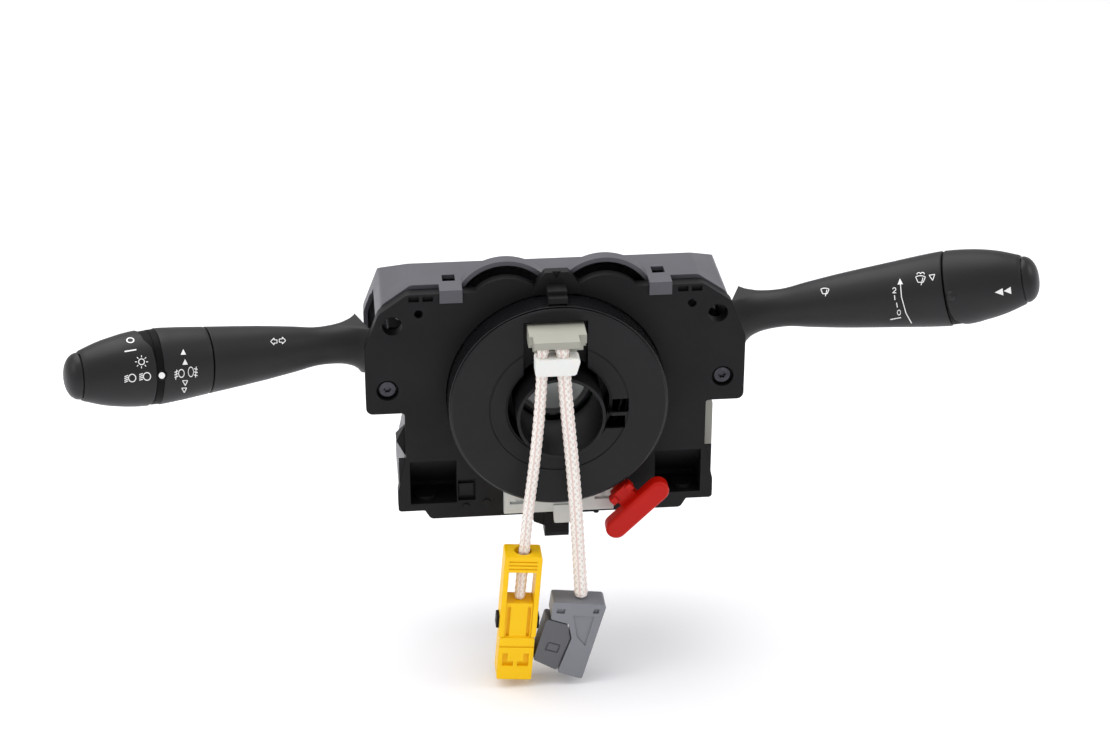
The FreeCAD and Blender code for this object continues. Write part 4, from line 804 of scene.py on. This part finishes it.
@dataclass
class Printer:
    """Pad-printed marks, drawn in the picture's pixels and laid on the piece that carries them."""

    view: Viewpoint
    paints: Paintbox
    lift: float = 0.06
    ink: float = 0.05

    def bar(self, shape: bmesh.types.BMesh, start: tuple[float, float], end: tuple[float, float],
            width: float = 1.0) -> None:
        """Adds a straight bar.

        Args:
            shape: Mark being drawn.
            start: First pixel.
            end: Last pixel.
            width: Width in pixels.
        """
        along = Vector(end) - Vector(start)
        middle = (Vector(start) + Vector(end)) / 2
        matrix = (Matrix.Translation((middle.x, middle.y, 0.0))
                  @ Matrix.Rotation(math.atan2(along.y, along.x), 4, "Z")
                  @ Matrix.Diagonal((along.length, width, 1.0, 1.0)))
        bmesh.ops.create_grid(shape, x_segments=max(1, round(along.length / 1.5)), y_segments=1, size=0.5,
                              matrix=matrix)

    def arc(self, shape: bmesh.types.BMesh, centre: tuple[float, float], radius: float, start: float,
            end: float, width: float = 1.0, squeeze: float = 1.0) -> None:
        """Adds an arc or a whole ring.

        Args:
            shape: Mark being drawn.
            centre: Its centre pixel.
            radius: Radius in pixels.
            start: First angle in degrees, clockwise from the right.
            end: Last angle.
            width: Width of the stroke.
            squeeze: Width of the ring over its height.
        """
        matrix = Matrix.Translation((*centre, 0.0)) @ Matrix.Diagonal((squeeze, 1.0, 1.0, 1.0))
        matrix = matrix @ Matrix.Rotation(math.radians(start), 4, "Z")
        ends = [shape.verts.new((radius + side * width / 2, 0.0, 0.0)) for side in (-1, 1)]
        whole = abs(end - start) >= 360
        bmesh.ops.spin(shape, geom=ends + [shape.edges.new(ends)], cent=(0, 0, 0), axis=(0, 0, 1),
                       angle=math.radians(end - start), steps=max(6, round(abs(end - start) / 15)),
                       use_merge=whole)
        drawn = [vert for vert in shape.verts
                 if vert.tag is False and abs(vert.co.xy.length - radius) <= width]
        bmesh.ops.transform(shape, matrix=matrix, verts=drawn)
        for vert in shape.verts:
            vert.tag = True

    def lay(self, name: str, shape: bmesh.types.BMesh, carrier: bpy.types.Object,
            body: str) -> bpy.types.Object:
        """Lays a drawn mark on its carrier along the sight lines, and gives it the ink's thickness.

        Args:
            name: Name of the piece.
            shape: The drawn mark.
            carrier: Piece that it is printed on.
            body: CAD body that it moves with.

        Returns:
            The mark.
        """
        tree = BVHTree.FromObject(carrier, bpy.context.evaluated_depsgraph_get())
        eye = self.view.eye() * MM
        lost = []
        for vert in shape.verts:
            hit, normal, _, _ = tree.ray_cast(eye, self.view.ray(vert.co.x, vert.co.y))
            if hit is None:
                lost.append(vert)
                continue
            if normal.dot(eye - hit) < 0:
                normal.negate()
            vert.co = hit + normal * (self.lift * MM)
        bmesh.ops.delete(shape, geom=lost, context="VERTS")
        bmesh.ops.recalc_face_normals(shape, faces=shape.faces)
        bmesh.ops.solidify(shape, geom=list(shape.faces), thickness=self.ink * MM)
        bmesh.ops.recalc_face_normals(shape, faces=shape.faces)
        piece = finished_piece(name, shape, body)
        self.paints.dress(piece, Finish.INK)
        return piece


class Stroke(Enum):
    """Kinds of stroke in a printed mark."""

    BAR = "bar"
    ARC = "arc"
    DOT = "dot"
    SOLID = "solid triangle"
    HOLLOW = "hollow triangle"


@dataclass(frozen=True)
class Mark:
    """Printed marks on one piece, as strokes in pixels."""

    name: str
    carrier: str
    body: str
    strokes: tuple[tuple, ...]

    def draw(self, printer: Printer) -> bmesh.types.BMesh:
        """Draws the strokes flat, before they are laid on the piece.

        Args:
            printer: Gives the bars and arcs.

        Returns:
            The drawn mark.
        """
        shape = bmesh.new()
        for kind, *values in self.strokes:
            if kind is Stroke.BAR:
                x0, y0, x1, y1, width = values
                printer.bar(shape, (x0, y0), (x1, y1), width)
            elif kind is Stroke.ARC:
                x, y, radius, start, end, width, squeeze = values
                printer.arc(shape, (x, y), radius, start, end, width, squeeze)
            elif kind is Stroke.DOT:
                x, y, radius = values
                made = bmesh.ops.create_circle(shape, cap_ends=True, segments=24, radius=radius,
                                               matrix=Matrix.Translation((x, y, 0.0)))
                cap = made["verts"][0].link_faces[0]
                for _ in range(4):
                    bmesh.ops.inset_region(shape, faces=[cap], thickness=radius / 5)
                bmesh.ops.poke(shape, faces=[cap])
            else:
                x0, y0, x1, y1, x2, y2 = values
                corners = [Vector((x0, y0)), Vector((x1, y1)), Vector((x2, y2))]
                if kind is Stroke.HOLLOW:
                    for first, last in zip(corners, corners[1:] + corners[:1]):
                        printer.bar(shape, first, last, 0.8)
                else:
                    face = shape.faces.new([shape.verts.new((*corner, 0.0)) for corner in corners])
                    bmesh.ops.subdivide_edges(shape, edges=face.edges, cuts=2, use_grid_fill=True)
            for vert in shape.verts:
                vert.tag = True
        return shape


def sun(x: float, y: float, radius: float) -> tuple[tuple, ...]:
    """Strokes of a lamp symbol with rays.

    Args:
        x: Centre across.
        y: Centre down.
        radius: Radius of its ring.

    Returns:
        The strokes.
    """
    strokes = [(Stroke.ARC, x, y, radius, 0, 360, 0.9, 1.0)]
    for k in range(8):
        turn = k * math.pi / 4
        near, far = radius + 1.6, radius + 3.6
        strokes.append((Stroke.BAR, x + near * math.cos(turn), y + near * math.sin(turn),
                        x + far * math.cos(turn), y + far * math.sin(turn), 0.8))
    return tuple(strokes)


def beam(x: float, y: float, side: int, rays: int, slope: float, size: float,
         squeeze: float) -> tuple[tuple, ...]:
    """Strokes of a lamp symbol with its rays on one side.

    Args:
        x: Centre of the lamp across.
        y: Centre of the lamp down.
        side: -1 with the rays on the left, 1 on the right.
        rays: How many rays.
        slope: Fall of each ray in pixels.
        size: Half height of the lamp.
        squeeze: Width of the lamp over its height.

    Returns:
        The strokes.
    """
    strokes = [(Stroke.ARC, x, y, size, 0, 360, 0.95, squeeze)]
    near = side * (size * squeeze + 0.5)
    for k in range(rays):
        level = y + (k - (rays - 1) / 2) * 1.95 * size / rays
        strokes.append((Stroke.BAR, x + near, level, x + near + side * 3.6, level + slope, 0.9))
    return tuple(strokes)


def wiper(x: float, y: float, size: float) -> tuple[tuple, ...]:
    """Strokes of a windscreen symbol with its blade.

    Args:
        x: Centre across.
        y: Centre down.
        size: Half width.

    Returns:
        The strokes.
    """
    return ((Stroke.ARC, x, y + size * 1.5, size * 2.2, -118, -62, 0.8, 1.0),
            (Stroke.BAR, x - size * 1.02, y - size * 0.4, x - size * 0.55, y + size * 0.7, 0.8),
            (Stroke.BAR, x + size * 1.02, y - size * 0.4, x + size * 0.55, y + size * 0.7, 0.8),
            (Stroke.BAR, x - size * 0.55, y + size * 0.7, x + size * 0.55, y + size * 0.7, 0.8),
            (Stroke.BAR, x + size * 0.1, y + size * 1.3, x + size * 0.5, y - size * 0.3, 0.8))


def open_arrow(x: float, y: float, side: int) -> tuple[tuple, ...]:
    """Strokes of an outlined turn arrow.

    Args:
        x: Tip across.
        y: Tip down.
        side: -1 pointing left, 1 pointing right.

    Returns:
        The strokes.
    """
    corners = ((0, 0), (3.4, -3.4), (3.4, -1.6), (6.4, -1.6), (6.4, 1.6), (3.4, 1.6), (3.4, 3.4))
    points = [(x - side * dx, y + dy) for dx, dy in corners]
    return tuple((Stroke.BAR, *first, *last, 0.7) for first, last in zip(points, points[1:] + points[:1]))


MARKS = (
    Mark("left_shell_marks", "left_grip_shell", "left_lever",
         open_arrow(270.6, 341.5, -1) + open_arrow(285.6, 340.6, 1)),
    Mark("fog_ring_marks", "fog_ring_grip", "fog_ring", (
        (Stroke.SOLID, 183.2, 349.0, 186.0, 354.6, 180.6, 354.8),
        (Stroke.SOLID, 185.0, 359.0, 187.8, 364.6, 182.4, 364.8),
        (Stroke.HOLLOW, 182.4, 380.6, 187.6, 380.4, 185.2, 385.4),
        (Stroke.HOLLOW, 181.6, 388.0, 186.6, 387.8, 184.2, 392.4),
    ) + beam(181.4, 373.4, -1, 3, 1.6, 3.9, 0.72) + beam(190.8, 371.8, 1, 3, 0.6, 4.8, 0.55) + (
        (Stroke.BAR, 176.6, 369.6, 175.6, 379.6, 0.7), (Stroke.BAR, 196.2, 366.4, 195.4, 377.4, 0.7))),
    Mark("light_ring_marks", "light_ring_grip", "light_ring", (
        (Stroke.ARC, 130.3, 340.3, 2.4, 0, 360, 0.9, 1.45),
        (Stroke.BAR, 124.6, 351.6, 136.4, 349.6, 1.3),
    ) + sun(141.5, 361.8, 2.9) + beam(132.2, 378.0, -1, 4, 1.6, 3.8, 0.95)
        + beam(147.0, 376.4, -1, 4, 0.9, 3.8, 0.95)),
    Mark("left_index_dot", "left_index_bump", "left_lever", ((Stroke.DOT, 161.8, 375.5, 3.2),)),
    Mark("right_shell_marks", "right_grip_shell", "right_lever", wiper(825.0, 291.0, 4.0) + (
        (Stroke.BAR, 900.4, 283.0, 901.6, 297.0, 0.9), (Stroke.BAR, 901.6, 297.0, 906.0, 313.0, 0.9),
        (Stroke.BAR, 906.0, 313.0, 911.6, 323.0, 0.9),
        (Stroke.SOLID, 900.0, 278.4, 903.0, 284.2, 897.6, 284.6),
        (Stroke.ARC, 894.4, 289.2, 1.5, 180, 400, 0.8, 1.0), (Stroke.BAR, 895.6, 290.2, 892.8, 292.8, 0.8),
        (Stroke.BAR, 892.6, 292.9, 896.2, 292.7, 0.8),
        (Stroke.BAR, 894.6, 295.2, 895.0, 300.0, 0.9), (Stroke.BAR, 896.6, 302.6, 897.4, 307.4, 0.9),
        (Stroke.ARC, 899.0, 312.4, 2.4, 0, 360, 0.8, 0.7), (Stroke.BAR, 890.4, 319.4, 901.0, 317.4, 0.9),
        (Stroke.HOLLOW, 929.2, 275.2, 934.8, 274.4, 932.6, 280.4),
    ) + wiper(920.6, 279.0, 4.7) + (
        (Stroke.ARC, 918.8, 274.4, 1.8, 180, 350, 0.8, 1.0),
        (Stroke.ARC, 922.6, 274.2, 1.8, 190, 360, 0.8, 1.0))),
    Mark("end_ring_marks", "rear_wiper_grip", "rear_wiper_ring", (
        (Stroke.SOLID, 994.8, 292.4, 1002.6, 288.2, 1003.4, 295.4),
        (Stroke.SOLID, 1003.8, 291.0, 1010.6, 286.8, 1011.4, 294.0))),
)


@dataclass
class Lead:
    """Braided lead along its route, as a sleeve with soft scallops."""

    name: str
    node: str
    route: tuple[tuple[float, float], ...]
    radius: float
    length: float
    companions: tuple[str, ...]
    depth: float = -76.2
    scallop: float = 3.2
    waist: float = 0.83
    swell: float = 0.7
    spacing: float = 0.4
    sides: int = 24

    def centreline(self) -> list[Vector]:
        """Reads the smooth line of the route's spline.

        Returns:
            Its points in metres.
        """
        data = bpy.data.curves.new(self.name + "_line", "CURVE")
        data.dimensions = "3D"
        spline = data.splines.new("NURBS")
        spline.points.add(len(self.route) - 1)
        for point, (x, z) in zip(spline.points, self.route):
            point.co = (x * MM, self.depth * MM, z * MM, 1.0)
        spline.order_u = 3
        spline.use_endpoint_u = True
        spline.resolution_u = 24
        line = bpy.data.objects.new(self.name + "_line", data)
        bpy.context.scene.collection.objects.link(line)
        mesh = bpy.data.meshes.new_from_object(line)
        points = [vert.co.copy() for vert in mesh.vertices]
        bpy.data.meshes.remove(mesh)
        bpy.data.objects.remove(line)
        bpy.data.curves.remove(data)
        return points

    def even(self, points: list[Vector], step: float) -> tuple[list[Vector], list[float]]:
        """Spaces points evenly along a line.

        Args:
            points: The line's points.
            step: Spacing in metres.

        Returns:
            The new points, and each one's distance along the line.
        """
        lengths = [0.0]
        for before, after in zip(points, points[1:]):
            lengths.append(lengths[-1] + (after - before).length)
        count = round(lengths[-1] / step)
        spaced, distances, k = [], [], 0
        for i in range(count + 1):
            distance = lengths[-1] * i / count
            while k < len(points) - 2 and lengths[k + 1] < distance:
                k += 1
            share = (distance - lengths[k]) / (lengths[k + 1] - lengths[k])
            spaced.append(points[k].lerp(points[k + 1], share))
            distances.append(distance)
        return spaced, distances

    def build(self, paints: Paintbox) -> None:
        """Args:
            paints: Gives the braid's material.
        """
        line, distances = self.even(self.centreline(), self.spacing * MM)
        shape = bmesh.new()
        along = shape.loops.layers.uv.new("UVMap")
        rings = []
        for point, distance in zip(line, distances):
            wave = abs(math.sin(math.pi * distance / MM / self.scallop))
            radius = self.radius * (self.waist + (1.0 - self.waist) * wave ** self.swell) * MM
            made = bmesh.ops.create_circle(shape, segments=self.sides, radius=radius,
                                           matrix=Matrix.Translation(point))
            rings.append(made["verts"])
        for k, (low, high) in enumerate(zip(rings, rings[1:])):
            edges = [edge for ring in (low, high) for edge in {e for v in ring for e in v.link_edges
                                                               if e.verts[0] in ring and e.verts[1] in ring}]
            bridged = bmesh.ops.bridge_loops(shape, edges=edges)
            for face in bridged["faces"]:
                centre = face.calc_center_median()
                for loop in face.loops:
                    around = self.share_round(loop.vert.co, line[k].lerp(line[k + 1], 0.5), centre)
                    top = loop.vert in high
                    loop[along].uv = (around, distances[k + 1] if top else distances[k])
        for ring in (rings[0], rings[-1]):
            shape.faces.new(ring)
        bmesh.ops.recalc_face_normals(shape, faces=shape.faces)
        piece = finished_piece(self.name, shape, "rotor", 80.0)
        paints.dress(piece, Finish.BRAID)
        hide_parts(self.node)

    def share_round(self, place: Vector, centre: Vector, middle: Vector) -> float:
        """Share of a turn about the lead, kept continuous across one face.

        Args:
            place: Corner of the face.
            centre: Point on the lead's line.
            middle: Middle of the face.

        Returns:
            Turns from the left side.
        """
        turn = math.atan2(place.y - centre.y, place.x - centre.x) / (2 * math.pi)
        own = math.atan2(middle.y - centre.y, middle.x - centre.x) / (2 * math.pi)
        if turn - own > 0.5:
            turn -= 1.0
        if turn - own < -0.5:
            turn += 1.0
        return turn


@dataclass
class StalkSwitch:
    """The whole object: dressed CAD nodes, two levers, their marks and the leads."""

    paints: Paintbox
    view: Viewpoint
    pieces: dict[str, bpy.types.Object] = field(default_factory=dict)
    band: float = 2.6

    def keep(self, name: str, shape: bmesh.types.BMesh, body: str, finish: Finish, *nodes: str) -> None:
        """Finishes one lever piece in place of its CAD node.

        Args:
            name: Name of the piece.
            shape: Its shape in place.
            body: CAD body that it moves with.
            finish: Its finish.
            nodes: CAD nodes that it stands for.
        """
        piece = finished_piece(name, shape, body)
        self.paints.dress(piece, finish)
        if nodes:
            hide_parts(*nodes)
        self.pieces[name] = piece

    def build_levers(self) -> None:
        """Builds both levers with their rings and buttons."""
        light_seam = Seam((
            (-180.0, 3.0), (-120.0, 2.6), (-63.0, 1.5), (-40.0, 0.6), (-17.0, 0.2), (6.0, 0.0), (28.0, 0.2),
            (54.0, 0.8), (75.0, 3.4), (90.0, 4.0), (116.0, 4.4), (180.0, 3.0)))
        wiper_seam = Seam((
            (-180.0, 3.0), (-100.0, 6.6), (-75.0, 6.0), (-58.0, 3.8), (-40.0, 1.5), (-20.0, 0.6), (0.0, 0.4),
            (30.0, 0.3), (60.0, 0.2), (90.0, 0.2), (120.0, 0.3), (180.0, 3.0)))
        left = Lever(Side.LEFT, (66.0, -22.0, 18.5), 4.45, light_seam)
        right = Lever(Side.RIGHT, (66.0, -22.0, 21.3), 13.7, wiper_seam)
        grip = left.grip
        start = grip.light_seam + grip.seam_gap
        ring_start = start + self.band
        inner, under = grip.bore - 1.6, grip.bore + 0.6
        self.keep("left_grip_shell", left.shell(grip.fog_seam), "left_lever", Finish.GRIP, "left_lever_shell")
        fog_start = grip.fog_seam + grip.seam_gap
        self.keep("fog_ring_grip", left.ring(fog_start, grip.light_seam, False, grip.wall), "fog_ring",
                  Finish.GRIP, "fog_ring")
        self.keep("left_index_collar", left.collar(grip.light_seam + 0.2, ring_start - 0.1, 0.3, inner),
                  "left_lever", Finish.COLLAR)
        self.keep("light_ring_band", left.collar(ring_start, ring_start + 6.0, 0.4, under), "light_ring",
                  Finish.COLLAR)
        self.keep("light_ring_grip", left.ring(ring_start, grip.cap_seam, True, grip.lip), "light_ring",
                  Finish.GRIP, "light_ring")
        self.keep("left_button_cap", left.button(), "left_button", Finish.BUTTON, "left_end_button")
        self.keep("left_index_bump", left.index_bump(112.6, 7.0, 2.5, 0.6), "left_lever", Finish.COLLAR)
        self.keep("right_grip_shell", right.shell(grip.light_seam), "right_lever", Finish.GRIP,
                  "right_lever_shell")
        self.keep("rear_wiper_grip", right.ring(start, grip.cap_seam, True, grip.lip), "rear_wiper_ring",
                  Finish.GRIP, "rear_wiper_ring")
        self.keep("rear_wiper_band", right.collar(start, start + 8.5, 0.45, under), "rear_wiper_ring",
                  Finish.COLLAR)
        self.keep("right_button_cap", right.button(), "right_button", Finish.BUTTON, "right_end_button")
        self.keep("right_index_bump", right.index_bump(114.4, 7.0, 2.1, 0.65), "rear_wiper_ring",
                  Finish.BUTTON)

    def build_leads(self) -> None:
        """Builds both leads."""
        Lead("airbag_lead_sleeve", "airbag_lead",
             ((-8.2, 36.1), (-9.2, 11.5), (-11.8, -17.2), (-14.8, -41.0), (-16.9, -64.0), (-18.86, -85.1)),
             2.5, 121.7, ("airbag_connector_frame", "airbag_connector_plug", "airbag_connector_clips",
                          "lead_clamp")).build(self.paints)
        Lead("switch_lead_sleeve", "switch_lead",
             ((-0.27, 36.1), (1.4, 10.9), (4.1, -18.1), (6.6, -52.0), (8.3, -85.5)),
             3.0, 121.9, ("switch_connector_body", "switch_connector_slider")).build(self.paints)

    def print_marks(self) -> None:
        """Prints the function marks on the levers."""
        bpy.context.view_layer.update()
        printer = Printer(self.view, self.paints)
        for mark in MARKS:
            printer.lay(mark.name, mark.draw(printer), self.pieces[mark.carrier], mark.body)


def main() -> None:
    """Builds the scene."""
    logging.basicConfig(level=logging.INFO, format="%(name)s %(message)s")
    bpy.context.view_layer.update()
    view = Viewpoint()
    view.make_camera()
    paints = Paintbox()
    paints.dress_nodes()
    switch = StalkSwitch(paints, view)
    switch.build_leads()
    switch.build_levers()
    switch.print_marks()
    Studio().build()
    bpy.context.view_layer.update()


if __name__ == "__main__":
    main()
